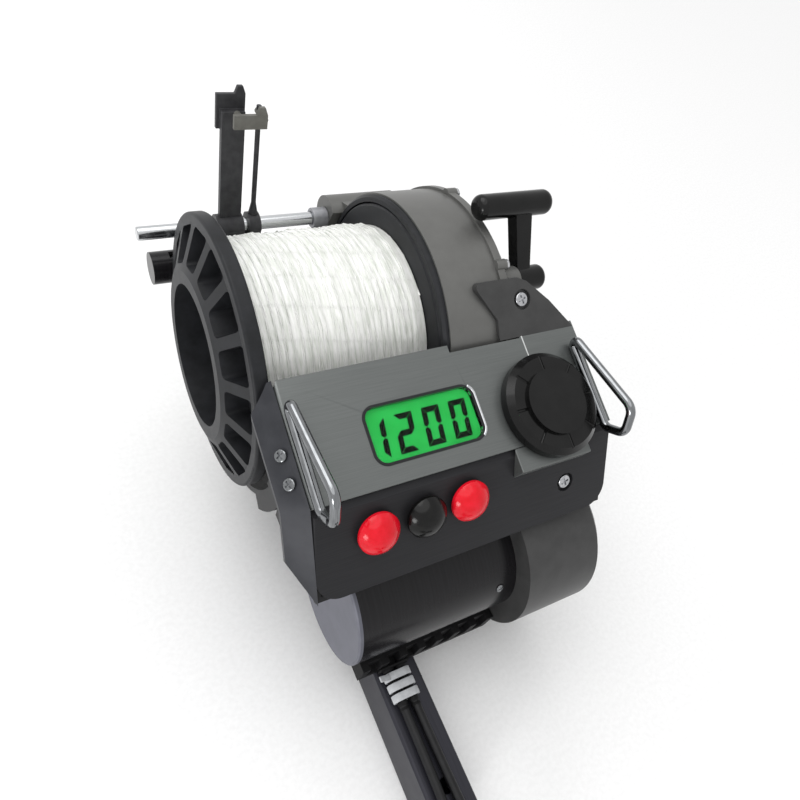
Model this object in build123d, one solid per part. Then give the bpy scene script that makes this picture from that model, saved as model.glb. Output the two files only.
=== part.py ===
from build123d import *
import os
from math import sin, cos, tan, radians, degrees, atan2, hypot, acos, asin, sqrt, pi

# Electric fishing reel. Lengths in millimetres, angles in degrees.
# Everything is drawn about the spool: the spool axis is X, the left flange's
# outer face is x = 0, Y points away from the angler and Z is up. When written,
# the parts are moved so that the origin lies on the mounting bar's bottom
# face, straight below the spool axis.

# Spool
flange_r = 75.0
flange_thick = 8.0
flange_edge = 1.6
recess_r = 68.5
recess_deep = 5.0
pocket_in_r = 49.5
pocket_round = 2.5
hub_ring_r = 46.0
hub_bore_r = 39.0
hub_proud = 8.4
hub_floor_x = 22.0
hub_wall = 4.0
hub_web = 8.0
hub_tube_r = 16.0
rib_count = 16
rib_thick = 6.0
core_r = hub_bore_r + hub_wall
right_flange_r = 72.0
right_flange_x = 103.5
right_flange_thick = 5.0
spool_bore_r = 10.0
spool_shaft_end = 148.0
spool_nut_r = 16.0
spool_nut_thick = 6.0
winding_core_r = 58.6
line_tube_r = 1.6
line_loops = 23
line_end_gap = 2.6

# Housing
mouth_r = 72.6
mouth_x = 103.8
mouth_ring_r = 76.5
mouth_chamfer = 1.4
drum_x = 107.0
drum_r = 77.5
web_x = 112.0
web_thick = 8.0
chamber_r = 72.0
drum_end = 143.0
cover_thick = 6.5
cover_r = 79.0
cover_edge = 2.0
lug_angles = (22.5, 67.5, 112.5, 157.5, 292.5, 337.5)
lug_r = 3.4
lug_reach = 77.3
bearing_r = 18.0
bearing_thick = 6.0
drag_hub_r = 39.5
drag_hub_bore = 30.0
drag_hub_x = 135.5
drag_ring_x = 136.5
drag_ring_thick = 4.0
clear = 0.05
part_gap = 0.4
overrun = 1.0

# Gears
gear_module = 1.0
spool_teeth = 112
lever_teeth = 18
out_pinion_teeth = 28
wheel_2_teeth = 84
pinion_2_teeth = 24
wheel_1_teeth = 56
motor_teeth = 20
idler_teeth = 16
worm_wheel_teeth = 34
addendum_share = 0.9
dedendum_share = 1.2
tip_share = 0.22
root_share = 0.60
gear_a_x = 124.0
gear_a_wide = 10.0
gear_b_x = 153.5
gear_b_wide = 9.0
gear_c_x = 169.5
gear_c_wide = 8.5
drag_shaft_angle = 117.4
out_shaft_angle = 235.0
gear_shaft_r = 5.0
gear_room = 1.6
case_wall = 3.5

# Level wind
rod_y = 81.4
rod_z = 15.0
rod_r = 4.0
rod_x = -18.5
rod_boss_r = 13.5
rod_boss_x = 99.0
collar_r = 6.4
collar_x = 89.0
worm_y = 85.5
worm_z = -17.7
worm_tube_r = 10.0
worm_tube_bore = 7.6
worm_tube_x = -10.0
worm_r = 6.4
worm_left_x = -4.0
worm_slot_half = 2.6
worm_slot_x0 = 1.0
worm_slot_x1 = 97.0
worm_boss_r = 22.0
guide_lean = 81.5
blade_x0 = 29.0
blade_x1 = 42.0
blade_thick = 4.0
blade_top = 71.0
post_x = 50.0
post_r = 1.45
foot_r = 7.4
blade_foot_x0 = 27.0
blade_foot_x1 = 43.0
post_foot_x0 = 46.5
post_foot_x1 = 53.5
plate_thick = 2.4
back_plate_x1 = 43.0
back_plate_low = 60.0
back_plate_top = 79.0
horn_wide = 3.0
horn_high = 4.0
front_off = 10.0
front_x0 = 32.3
front_x1 = 50.6
front_low = 66.3
front_top = 73.8
cross_r = 1.8
pawl_collar_r = 13.6
pawl_r = 2.2
pawl_reach = 6.6
carriage_clear_r = 75.8

# Control box
box_x0 = 7.5
box_x1 = 188.5
panel_slope = 18.0
lower_slope = 54.9
panel_back = 3.6
upper_long = 57.9
lower_long = 52.0
panel_thick = 3.0
box_wall = 3.0
under_front_y = -145.0
under_z = -14.5
under_back_y = -78.0
box_clear_r = 79.4
fold_rise = 1.44
fold_angle = 141.88
fold_y = (box_clear_r + fold_rise) * cos(radians(fold_angle))
fold_z = (box_clear_r + fold_rise) * sin(radians(fold_angle))
cover_clear_r = 81.2
lower_corner = 13.0
side_shift = 10.5
side_inset = 10.0
side_low_v = 30.0
side_thick = 2.5
side_screw_u = (-30.5, -44.0)
side_screw_in = 3.8
arm_slope = 43.0
arm_thick = 13.0
arm_corner = 3.0
arm_left_top = 122.0
arm_right_top = 151.5
arm_shoulder_x = 158.0
arm_shoulder_long = 29.5
arm_knee_x = 172.7
arm_knee_long = 17.0
arm_foot_x = 136.4
arm_waist_long = 11.0
arm_long = 32.3
arm_screw_x = 154.0
arm_screw_long = 20.0
recess_screw_r = 5.6
recess_screw_deep = 1.8
screw_r = 4.0
screw_high = 1.6
screw_shank_r = 1.6
screw_long = 6.5
panel_screw_x = 158.0
panel_screw_v = 30.3

# Controls
lcd_x0 = 46.0
lcd_x1 = 107.0
lcd_u0 = -19.7
lcd_u1 = -47.2
lcd_corner = 7.0
lcd_rim = 3.0
lcd_rim_high = 0.5
lcd_glass = 1.6
lcd_module_thick = 5.0
board_x0 = 40.0
board_x1 = 128.0
board_u0 = -18.5
board_u1 = -50.0
board_thick = 1.6
board_drop = 12.0
button_x = (39.3, 65.9, 91.4)
button_v = (20.9, 20.8, 19.8)
button_r = 11.0
button_skirt = 1.6
button_dome = 6.4
button_lift = 2.4
stem_r = 5.0
stem_hole = 5.4
stem_long = 12.0
switch_r = 9.5
switch_deep = 15.0
switch_floor = 2.5
knob_x = 150.0
knob_u = -41.0
knob_r = 28.5
knob_high = 8.2
knob_bevel = 3.2
knob_lift = 0.8
knob_disc_r = 18.0
knob_disc_high = 2.0
knob_groove_count = 8
knob_groove_r = 0.8
knob_groove_in = 18.3
knob_groove_out = 27.5
knob_shaft_r = 3.0
knob_shaft_long = 14.0
pot_r = 12.0
pot_thick = 9.0
ledge_x0 = 121.0
ledge_x1 = 168.0
ledge_reach = 13.1
ledge_u = -(upper_long + ledge_reach)
ledge_v = 17.0
loop_x = (11.0, 181.0)
loop_wire_r = 2.5
loop_uh = ((-0.5, 2.7), (-57.5, 26.5), (-68.0, 14.5), (-61.0, 2.7))
loop_round = (2.6, 6.8, 6.4, 5.4)
loop_stud_u = (-24.0, -50.0)
loop_stud_r = 1.9
loop_stud_deep = 3.0

# Drag lever
lever_x0 = 163.3
lever_x1 = 174.7
lever_low_x0 = 162.6
lever_low_x1 = 171.0
lever_thick = 8.0
lever_hub_r = 7.2
lever_hub_x0 = 162.5
lever_hub_x1 = 181.5
lever_hub_round = 3.0
lever_boss_r = 8.2
lever_shaft_r = 5.0
grip_y = -2.3
grip_z = 88.6
grip_r = 7.0
grip_x0 = 138.2
grip_x1 = 189.0
grip_round = 4.6

# Motor
motor_y = -131.0
motor_z = -68.0
motor_r = 38.5
motor_wall = 3.0
motor_x0 = 34.2
motor_x1 = 134.0
motor_disc_x = 31.5
motor_disc_edge = 1.0
magnet_gap = 0.2
magnet_out = motor_r - motor_wall - magnet_gap
magnet_thick = 5.0
magnet_x0 = 62.0
magnet_x1 = 120.0
magnet_half_angle = 62.0
rotor_air_gap = 1.3
rotor_r = magnet_out - magnet_thick - rotor_air_gap
rotor_shaft_r = 3.5
rotor_slot_count = 12
rotor_slot_wide = 3.0
rotor_slot_deep = 9.0
commutator_r = 12.0
commutator_x0 = 44.0
commutator_x1 = 57.0
motor_bearing_r = 9.0
motor_bearing_thick = 5.0
lobe_wall = 12.5
lobe_r = motor_r + lobe_wall
case_b_end = 165.5
case_c_end = 185.5
case_lid_end = 189.5

# Chassis, foot and bar
rear_in_r = 79.6
rear_thick = 3.5
rear_bulge_r = 92.0
rear_x0 = 10.0
rear_x1 = 104.5
rear_a0 = 190.6
rear_a1 = 262.0
rear_bulge_a0 = 190.6
rear_bulge_a1 = 219.0
duct_x0 = 14.0
duct_x1 = 31.0
duct_y0 = -119.0
duct_y1 = -84.0
duct_z0 = -44.0
duct_round = 6.0
rear_rib_thick = 4.0
rear_rib_count = 4
seat_gap = 0.1
pad_x0 = 47.0
pad_x1 = 87.0
pad_y0 = -62.0
pad_y1 = -12.0
pad_thick = 5.0
foot_x0 = 42.0
foot_x1 = motor_x1 - part_gap
foot_front = 2.5
foot_back = 2.0
foot_rise = 25.0
foot_y0 = motor_y - motor_r - foot_front
foot_y1 = motor_y + motor_r + foot_back
foot_top = motor_z - foot_rise
foot_plate = 5.0
foot_rib_count = 8
foot_rib_thick = 5.0
foot_rib_gap_deep = 4.0
bar_x0 = 53.0
bar_x1 = 81.0
bar_y0 = -258.0
bar_y1 = 30.0
bar_gap = 3.5
bar_high = 34.0
bar_top = motor_z - motor_r - bar_gap
bar_bottom = bar_top - bar_high
bar_wall = 3.0
bar_round = 2.0
bar_hole_r = 4.5
bar_hole_y = (-242.0, 16.0)

# Power leads
lead_r = 2.75
lead_x = (60.8, 68.2)
lead_lift = 1.4
gland_thick = 2.0
lead_start_y = foot_y0 - gland_thick
lead_bow_y = -222.0
lead_bow = 0.0
lead_leave_y = -277.0
lead_leave = 1.8
lead_fall_y = -309.0
lead_fall = 3.6
lead_fall_z = 12.1
lead_land_y = -343.0
lead_land = 5.5
lead_coil_y = -368.0
lead_coil = 5.8
coil_rest = 2.95
coil_layer = 6.1
coil_step = 3.0
coil_out_r = 39.0
coil_turns = 4
plug_wide = 7.0
plug_high = 5.8
plug_long = 26.0
plug_pin_r = 1.2
plug_pin_long = 6.0
gland_x0 = 55.0
gland_x1 = 74.0
gland_high = 8.6
tie_y = (-176.6, -180.2, -183.8)
tie_wide = 2.6
tie_thick = 1.2
tie_tail = 11.0
tie_tail_lean = 35.0
foot_bolt_x = (59.0, 75.0)
foot_bolt_in = 7.0
foot_bolt_y = foot_y1 - foot_bolt_in
pad_bolt_y = (-24.0, -44.0)
bolt_r = 3.0
bolt_head_r = 5.0
bolt_head_high = 4.0

bar_mid_x = (bar_x0 + bar_x1) / 2
home = Location((-bar_mid_x, 0, -bar_bottom))
panel_sin = sin(radians(panel_slope))
panel_cos = cos(radians(panel_slope))
front_y = fold_y - upper_long * panel_cos
front_z = fold_z - upper_long * panel_sin
low_y = front_y - lower_long * cos(radians(lower_slope))
low_z = front_z - lower_long * sin(radians(lower_slope))
back_y = fold_y + panel_back * panel_cos
back_z = fold_z + panel_back * panel_sin
upper_plane = Plane(origin=(0, fold_y, fold_z), x_dir=(1, 0, 0), z_dir=(0, -panel_sin, panel_cos))
lower_plane = Plane(origin=(0, front_y, front_z), x_dir=(1, 0, 0),
                    z_dir=(0, -sin(radians(lower_slope)), cos(radians(lower_slope))))
arm_plane = Plane(origin=(0, fold_y, fold_z), x_dir=(1, 0, 0),
                  z_dir=(0, -sin(radians(arm_slope)), cos(radians(arm_slope))))
guide_plane = Plane(origin=(0, rod_y, rod_z), x_dir=(1, 0, 0),
                    z_dir=(0, -sin(radians(guide_lean)), cos(radians(guide_lean))))


def pitch_r(teeth):
    return gear_module * teeth / 2


def polar(radius, angle, y=0, z=0):
    return y + radius * cos(radians(angle)), z + radius * sin(radians(angle))


def third_point(y0, z0, r0, y1, z1, r1, side):
    """The point at r0 from the first centre and r1 from the second."""
    gap = hypot(y1 - y0, z1 - z0)
    bearing = degrees(atan2(z1 - z0, y1 - y0))
    turn = degrees(acos((r0 * r0 + gap * gap - r1 * r1) / (2 * r0 * gap)))
    return polar(r0, bearing + side * turn, y0, z0)


lever_y, lever_z = polar(pitch_r(spool_teeth + lever_teeth), drag_shaft_angle)
out_y, out_z = polar(pitch_r(spool_teeth + out_pinion_teeth), out_shaft_angle)
mid_y, mid_z = third_point(motor_y, motor_z, pitch_r(motor_teeth + wheel_1_teeth),
                           out_y, out_z, pitch_r(wheel_2_teeth + pinion_2_teeth), 1)
idler_y, idler_z = third_point(0, 0, pitch_r(spool_teeth + idler_teeth),
                               worm_y, worm_z, pitch_r(idler_teeth + worm_wheel_teeth), -1)


def cyl(x0, x1, radius, y=0, z=0):
    """A cylinder along X."""
    round_bar = Cylinder(radius, x1 - x0, align=(Align.CENTER, Align.CENTER, Align.MIN))
    return Pos(x0, y, z) * Rot(0, 90, 0) * round_bar


def ring(x0, x1, outer, inner, y=0, z=0):
    return cyl(x0, x1, outer, y, z) - cyl(x0 - overrun, x1 + overrun, inner, y, z)


def block(x0, x1, y0, y1, z0, z1):
    return Pos(x0, y0, z0) * Box(x1 - x0, y1 - y0, z1 - z0, align=(Align.MIN, Align.MIN, Align.MIN))


def prism(points, x0, x1):
    """A (y, z) outline drawn out along X."""
    corners = [(x0, y, z) for y, z in points]
    return extrude(make_face(Polyline(*corners, close=True)), amount=x1 - x0, dir=(1, 0, 0))


def plate(plane, points, low, high):
    """An (x, u) outline on a panel's plane, from one height to another."""
    face = plane.offset(low) * make_face(Polyline(*points, close=True))
    return extrude(face, amount=high - low, dir=plane.z_dir)


def slab(plane, x0, x1, u0, u1, low, high, corner=0):
    face = RectangleRounded(x1 - x0, u1 - u0, corner) if corner else Rectangle(x1 - x0, u1 - u0)
    placed = plane.offset(low) * Pos((x0 + x1) / 2, (u0 + u1) / 2) * face
    return extrude(placed, amount=high - low, dir=plane.z_dir)


def pin(plane, x, u, radius, low, high):
    """A cylinder square to a panel's plane."""
    return extrude(plane.offset(low) * Pos(x, u) * Circle(radius), amount=high - low, dir=plane.z_dir)


def hull_two(x0, x1, y0, z0, r0, y1, z1, r1):
    """Two round bosses along X joined by their outer tangents."""
    gap = hypot(y1 - y0, z1 - z0)
    bearing = degrees(atan2(z1 - z0, y1 - y0))
    lean = degrees(acos((r0 - r1) / gap))
    corners = [polar(r0, bearing + lean, y0, z0), polar(r1, bearing + lean, y1, z1),
               polar(r1, bearing - lean, y1, z1), polar(r0, bearing - lean, y0, z0)]
    return prism(corners, x0, x1) + cyl(x0, x1, r0, y0, z0) + cyl(x0, x1, r1, y1, z1)


def meshed(tooth_angle, teeth, other_teeth, bearing):
    """Where the other gear has a tooth, so that its gap meets this gear's tooth."""
    return bearing + 180 - (tooth_angle - bearing) * teeth / other_teeth + 180 / other_teeth


def gear(teeth, x0, x1, y, z, tooth_angle, bore=0):
    pitch = 360 / teeth
    root_r = pitch_r(teeth) - gear_module * dedendum_share
    tip_r = pitch_r(teeth) + gear_module * addendum_share
    outline = []
    for i in range(teeth):
        middle = tooth_angle + i * pitch
        outline.append(polar(root_r, middle - pitch * root_share / 2, y, z))
        outline.append(polar(tip_r, middle - pitch * tip_share / 2, y, z))
        outline.append(polar(tip_r, middle + pitch * tip_share / 2, y, z))
        outline.append(polar(root_r, middle + pitch * root_share / 2, y, z))
    wheel = prism(outline, x0, x1)
    return wheel - cyl(x0 - overrun, x1 + overrun, bore, y, z) if bore else wheel


def bearing_angle(y0, z0, y1, z1):
    return degrees(atan2(z1 - z0, y1 - y0))


nodes = {}


def keep(name, *shapes):
    nodes[name] = [home * shape for shape in shapes]


# Spool
def flange_pocket():
    """One of the hollows between the ribs of the open flange."""
    half_step = pi / rib_count
    inner = pocket_in_r * half_step - rib_thick / 2
    outer = recess_r * half_step - rib_thick / 2
    corners = [(-inner, pocket_in_r), (-outer, recess_r), (outer, recess_r), (inner, pocket_in_r)]
    hollow = prism(corners, -hub_proud - overrun, recess_deep)
    return fillet(hollow.edges().filter_by(Axis.X), pocket_round)


def spool():
    body = fillet(cyl(0, flange_thick, flange_r).edges(), flange_edge)
    body += Pos(-hub_proud / 2, 0, 0) * Rot(0, 90, 0) * Cone(hub_ring_r, recess_r, hub_proud)
    hollow = flange_pocket()
    for i in range(rib_count):
        body -= Rot(360 * i / rib_count, 0, 0) * hollow
    body -= cyl(-hub_proud - overrun, flange_thick + overrun, hub_bore_r)
    body += ring(flange_edge, right_flange_x, core_r, hub_bore_r)
    right = fillet(cyl(right_flange_x, right_flange_x + right_flange_thick, right_flange_r).edges(),
            flange_edge)
    body += right - cyl(right_flange_x - overrun, right_flange_x + right_flange_thick + overrun,
            hub_bore_r)
    body += cyl(hub_floor_x, hub_floor_x + hub_web, core_r)
    body += cyl(hub_floor_x, right_flange_x + right_flange_thick, hub_tube_r)
    body -= cyl(hub_floor_x - overrun, right_flange_x + right_flange_thick + overrun, spool_bore_r)
    return body


keep("spool", spool())
nut = cyl(hub_floor_x - spool_nut_thick, hub_floor_x, spool_nut_r)
nut = chamfer(nut.edges().filter_by(GeomType.CIRCLE).sort_by(Axis.X)[0], flange_edge / 2)
main_shaft = nut + cyl(hub_floor_x - spool_nut_thick - flange_edge, spool_shaft_end, spool_bore_r - clear)
out_bearing_angle = bearing_angle(0, 0, out_y, out_z)
spool_wheel = gear(spool_teeth, gear_a_x, gear_a_x + gear_a_wide, 0, 0, out_bearing_angle,
        spool_bore_r - clear)
keep("spool_shaft", main_shaft + spool_wheel)
bearing_left = ring(web_x + web_thick - bearing_thick, web_x + web_thick, bearing_r, spool_bore_r)
bearing_right = ring(drum_end, drum_end + bearing_thick - part_gap, bearing_r, spool_bore_r)
keep("spool_bearings", bearing_left, bearing_right)
keep("line_packing", ring(flange_thick, right_flange_x, winding_core_r, core_r))


# Housing
def shaft_holes(x0, x1):
    """Holes for the shafts that cross the housing's walls."""
    return (cyl(x0, x1, gear_shaft_r + clear, out_y, out_z) + cyl(x0, x1, lever_shaft_r + clear,
            lever_y, lever_z))


def gear_housing():
    body = cyl(drum_x, drum_end, drum_r)
    body += hull_two(drum_x, drum_end, rod_y, rod_z, rod_boss_r, worm_y, worm_z, worm_boss_r)
    body += cyl(rod_boss_x, drum_x + overrun, rod_boss_r, rod_y, rod_z)
    shoulder = [(0, drum_r - rod_boss_r), polar(rod_boss_r, 100, rod_y, rod_z),
                polar(rod_boss_r, -80, rod_y, rod_z), (0, 0)]
    body += prism(shoulder, drum_x, drum_end)
    out_outer = pitch_r(out_pinion_teeth) + gear_room + case_wall
    body += cyl(drum_x, drum_end, out_outer, out_y, out_z)
    body -= cyl(rod_boss_x - overrun, drum_x, mouth_ring_r + part_gap)
    body -= cyl(rod_boss_x, web_x, mouth_r)
    web_end = web_x + web_thick
    body -= cyl(web_end, drum_end + overrun, chamber_r)
    body -= cyl(web_end, drum_end + overrun, pitch_r(out_pinion_teeth) + gear_room, out_y, out_z)
    body -= cyl(web_end, drum_end + overrun, pitch_r(lever_teeth) + gear_room, lever_y, lever_z)
    body -= hull_two(web_end, drum_end + overrun, idler_y, idler_z, pitch_r(idler_teeth) + gear_room,
                     worm_y, worm_z, pitch_r(worm_wheel_teeth) + gear_room)
    body -= cyl(web_x - overrun, web_end - bearing_thick, spool_bore_r + part_gap)
    body -= cyl(web_end - bearing_thick, web_end + overrun, bearing_r)
    body -= cyl(web_end - bearing_thick, web_end + overrun, gear_shaft_r + clear, out_y, out_z)
    body -= cyl(web_end - bearing_thick, web_end + overrun, gear_shaft_r + clear, idler_y, idler_z)
    body -= cyl(rod_boss_x - overrun, rod_boss_x + web_thick, rod_r, rod_y, rod_z)
    body -= cyl(drum_x - overrun, web_x, worm_tube_r, worm_y, worm_z)
    body -= cyl(drum_x - overrun, web_end + overrun, worm_r + clear, worm_y, worm_z)
    return body


keep("gear_housing", gear_housing())
mouth = ring(mouth_x, drum_x, mouth_ring_r, mouth_r)
keep("mouth_ring",
        chamfer(mouth.edges().filter_by(GeomType.CIRCLE).sort_by(Axis.X)[:2].sort_by(SortBy.RADIUS)[-1],
                           mouth_chamfer))


def right_cover():
    cover_end = drum_end + cover_thick
    disc = cyl(drum_end, cover_end, cover_r)
    disc = chamfer(disc.edges().filter_by(GeomType.CIRCLE).sort_by(Axis.X)[-1], cover_edge)
    for angle in lug_angles:
        lug_y, lug_z = polar(lug_reach, angle)
        disc += cyl(drum_end, cover_end, lug_r, lug_y, lug_z)
    worm_cap = hull_two(drum_end, cover_end - cover_edge, rod_y, rod_z, rod_boss_r, worm_y, worm_z,
            worm_boss_r)
    disc += worm_cap
    disc += cyl(drum_end, cover_end - cover_edge, pitch_r(out_pinion_teeth) + gear_room + case_wall,
            out_y, out_z)
    disc += cyl(drum_end, lever_hub_x0 - part_gap, lever_boss_r, lever_y, lever_z)
    disc += ring(drag_hub_x, drum_end + overrun, drag_hub_r, drag_hub_bore)
    disc -= cyl(drum_end - overrun, drum_end + bearing_thick - part_gap, bearing_r)
    disc -= shaft_holes(drum_end - overrun, lever_hub_x0)
    disc -= cyl(drum_end - overrun, drum_end + cover_thick / 2, worm_r + clear, worm_y, worm_z)
    disc -= cyl(drum_end - overrun, drum_end + cover_thick / 2, gear_shaft_r + clear, idler_y, idler_z)
    return disc


def cover_screws():
    screws = []
    for angle in lug_angles:
        screw_y, screw_z = polar(lug_reach, angle)
        top = drum_end + cover_thick
        screws.append(cyl(top, top + screw_high, lug_r - part_gap, screw_y, screw_z))
    return screws


keep("right_cover", right_cover())
keep("cover_screws", *cover_screws())
drag_tooth = bearing_angle(0, 0, lever_y, lever_z)
keep("drag_ring", gear(spool_teeth, drag_ring_x, drag_ring_x + drag_ring_thick, 0, 0, drag_tooth,
                       drag_hub_r + clear))

# Reduction gears
out_tooth = meshed(out_bearing_angle, spool_teeth, out_pinion_teeth, out_bearing_angle)
out_gear = gear(out_pinion_teeth, gear_a_x, gear_a_x + gear_a_wide, out_y, out_z, out_tooth)
wheel_2 = gear(wheel_2_teeth, gear_b_x, gear_b_x + gear_b_wide, out_y, out_z, 0)
shaft_2 = cyl(web_x + web_thick - bearing_thick + part_gap, case_b_end - part_gap, gear_shaft_r,
        out_y, out_z)
keep("output_gear_shaft", out_gear + wheel_2 + shaft_2)
mid_bearing = bearing_angle(out_y, out_z, mid_y, mid_z)
mid_tooth = meshed(0, wheel_2_teeth, pinion_2_teeth, mid_bearing)
pinion_2 = gear(pinion_2_teeth, gear_b_x, gear_b_x + gear_b_wide, mid_y, mid_z, mid_tooth)
wheel_1 = gear(wheel_1_teeth, gear_c_x, gear_c_x + gear_c_wide, mid_y, mid_z, 0)
shaft_1 = cyl(gear_b_x - case_wall, case_c_end - part_gap, gear_shaft_r, mid_y, mid_z)
keep("middle_gear_shaft", pinion_2 + wheel_1 + shaft_1)
motor_bearing_angle = bearing_angle(mid_y, mid_z, motor_y, motor_z)
motor_tooth = meshed(0, wheel_1_teeth, motor_teeth, motor_bearing_angle)


def gear_case():
    """The grey casting round the motor's right end, open to the right."""
    outer_2 = pitch_r(wheel_2_teeth) + gear_room + case_wall
    body = cyl(motor_x1, case_b_end, lobe_r, motor_y, motor_z)
    body += hull_two(drum_end + cover_thick, case_b_end, motor_y, motor_z, lobe_r, out_y, out_z, outer_2)
    room_x = gear_b_x - gear_room / 2
    body -= hull_two(room_x, case_b_end + overrun, mid_y, mid_z, pitch_r(pinion_2_teeth) + gear_room,
                     out_y, out_z, pitch_r(wheel_2_teeth) + gear_room)
    body -= cyl(drum_end, room_x + overrun, gear_shaft_r + clear, out_y, out_z)
    body -= cyl(gear_b_x - case_wall - part_gap, room_x + overrun, gear_shaft_r + clear, mid_y, mid_z)
    body -= cyl(motor_x1 - overrun, case_b_end + overrun, rotor_shaft_r + part_gap, motor_y, motor_z)
    return body


def gear_case_outer():
    outer_1 = pitch_r(wheel_1_teeth) + gear_room + case_wall
    body = hull_two(case_b_end, case_c_end, motor_y, motor_z, lobe_r, mid_y, mid_z, outer_1)
    cap_r = pitch_r(wheel_2_teeth) + gear_room + case_wall
    body += hull_two(case_b_end, case_b_end + case_wall, motor_y, motor_z, lobe_r, out_y, out_z, cap_r)
    body -= hull_two(case_b_end - overrun, case_c_end, motor_y, motor_z,
                     pitch_r(motor_teeth) + gear_room, mid_y, mid_z, pitch_r(wheel_1_teeth) + gear_room)
    return body


def gear_case_lid():
    lid = cyl(case_c_end, case_lid_end, lobe_r, motor_y, motor_z)
    lid = chamfer(lid.edges().filter_by(GeomType.CIRCLE).sort_by(Axis.X)[-1],
            case_lid_end - case_c_end - part_gap)
    outer_1 = pitch_r(wheel_1_teeth) + gear_room + case_wall
    lid += cyl(case_c_end, case_c_end + case_wall / 2, outer_1, mid_y, mid_z)
    return lid


keep("gear_case", gear_case())
keep("gear_case_outer", gear_case_outer() + gear_case_lid())

# Level wind drive
idler_tooth = meshed(out_bearing_angle, spool_teeth, idler_teeth, bearing_angle(0, 0, idler_y, idler_z))
idler = gear(idler_teeth, gear_a_x, gear_a_x + gear_a_wide, idler_y, idler_z, idler_tooth)
idler_pin = cyl(web_x + web_thick - bearing_thick + part_gap, drum_end + cover_thick / 2 - part_gap,
                gear_shaft_r, idler_y, idler_z)
keep("worm_idler", idler + idler_pin)
worm_tooth = meshed(idler_tooth, idler_teeth, worm_wheel_teeth, bearing_angle(idler_y, idler_z,
        worm_y, worm_z))
worm_gear = gear(worm_wheel_teeth, gear_a_x, gear_a_x + gear_a_wide, worm_y, worm_z, worm_tooth)
worm_bar = cyl(worm_left_x, drum_end + cover_thick / 2 - part_gap, worm_r, worm_y, worm_z)
keep("worm_shaft", worm_gear + worm_bar)
tube = ring(worm_tube_x, web_x, worm_tube_r, worm_tube_bore, worm_y, worm_z)
slot = block(worm_slot_x0, worm_slot_x1, worm_y - worm_slot_half, worm_y + worm_slot_half,
             worm_z, worm_z + worm_tube_r + overrun)
tube += cyl(worm_tube_x, worm_left_x - part_gap, worm_tube_bore + clear, worm_y, worm_z)
keep("worm_tube", tube - slot)
keep("guide_rod", chamfer(cyl(rod_x, rod_boss_x + web_thick, rod_r, rod_y,
        rod_z).edges().sort_by(Axis.X)[0],
                          rod_r / 8))
keep("rod_collar", ring(collar_x, rod_boss_x, collar_r, rod_r, rod_y, rod_z))


# Line guide
def guide_carriage():
    """Feet on the guide rod, bridge to the worm tube and the pawl."""
    body = cyl(blade_foot_x0, blade_foot_x1, foot_r, rod_y, rod_z)
    body += cyl(post_foot_x0, post_foot_x1, foot_r, rod_y, rod_z)
    body += prism([(rod_y - foot_r / 2, rod_z), (rod_y + foot_r, rod_z),
            (worm_y + pawl_collar_r - foot_r / 2, worm_z),
                   (worm_y - foot_r / 2, worm_z)], blade_foot_x0, post_foot_x1)
    body += cyl(blade_foot_x0, post_foot_x1, pawl_collar_r, worm_y, worm_z)
    body -= block(blade_foot_x1, post_foot_x0, rod_y - flange_r, rod_y + flange_r, rod_z - foot_r,
            rod_z + foot_r)
    body -= cyl(blade_foot_x0 - overrun, post_foot_x1 + overrun, rod_r + clear, rod_y, rod_z)
    body -= cyl(blade_foot_x0 - overrun, post_foot_x1 + overrun, worm_tube_r + clear, worm_y, worm_z)
    body -= cyl(blade_foot_x0 - overrun, post_foot_x1 + overrun, carriage_clear_r)
    pawl = Pos((blade_foot_x0 + post_foot_x1) / 2, worm_y, worm_z + worm_r + part_gap) * Cylinder(
        pawl_r, pawl_reach, align=(Align.CENTER, Align.CENTER, Align.MIN))
    return body + pawl


def guide_blade():
    body = slab(guide_plane, blade_x0, blade_x1, foot_r - overrun, blade_top, -blade_thick / 2,
            blade_thick / 2)
    return body - cyl(blade_x0 - overrun, blade_x1 + overrun, foot_r, rod_y, rod_z)


def guide_post():
    post = Pos(post_x, *polar(foot_r, guide_lean, rod_y, rod_z)) * Rot(guide_lean - 90, 0, 0) * Cylinder(
        post_r, front_low - foot_r + front_top - front_low, align=(Align.CENTER, Align.CENTER, Align.MIN))
    cone_base = Pos(post_x, *polar(foot_r, guide_lean, rod_y, rod_z)) * Rot(guide_lean - 90, 0, 0) * Cone(
        post_r + post_r, post_r, foot_r, align=(Align.CENTER, Align.CENTER, Align.MIN))
    return post + cone_base - cyl(post_x - foot_r, post_x + foot_r, foot_r, rod_y, rod_z)


def horned(plane, x0, x1, low, top, off0, off1, horn_x):
    points = [(x0, low), (x1, low), (x1, top), (horn_x + horn_wide / 2, top + horn_high),
              (horn_x - horn_wide / 2, top + horn_high), (horn_x - horn_wide, top), (x0, top)]
    return plate(plane, points, off0, off1)


keep("guide_carriage", guide_carriage())
keep("guide_post", guide_post())
keep("guide_blade", guide_blade() + horned(guide_plane, blade_foot_x0, back_plate_x1, back_plate_low,
                                           back_plate_top, -blade_thick / 2 - plate_thick, -blade_thick / 2,
                                           back_plate_x1 - horn_wide))


def guide_front_plate():
    return horned(guide_plane, front_x0, front_x1, front_low, front_top, front_off,
            front_off + plate_thick,
                  front_x1 - horn_wide)


def cross_bars():
    """Two bars that join the back plate, the post and the front plate."""
    level = (front_low + front_top) / 2
    back = -blade_thick / 2
    left = pin(guide_plane, (front_x0 + blade_x1) / 2, level, cross_r, blade_thick / 2, front_off)
    right = pin(guide_plane, post_x, level, cross_r, back, front_off)
    return left, right


left_bar, right_bar = cross_bars()
keep("guide_front_plate", guide_front_plate() + left_bar + right_bar - guide_post())


# Control box
def outline_box():
    heel = polar(box_clear_r - box_wall, rear_a0)
    return [(back_y, back_z), (front_y, front_z), (low_y, low_z), (under_front_y, under_z),
            (under_back_y, under_z), heel]


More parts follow.
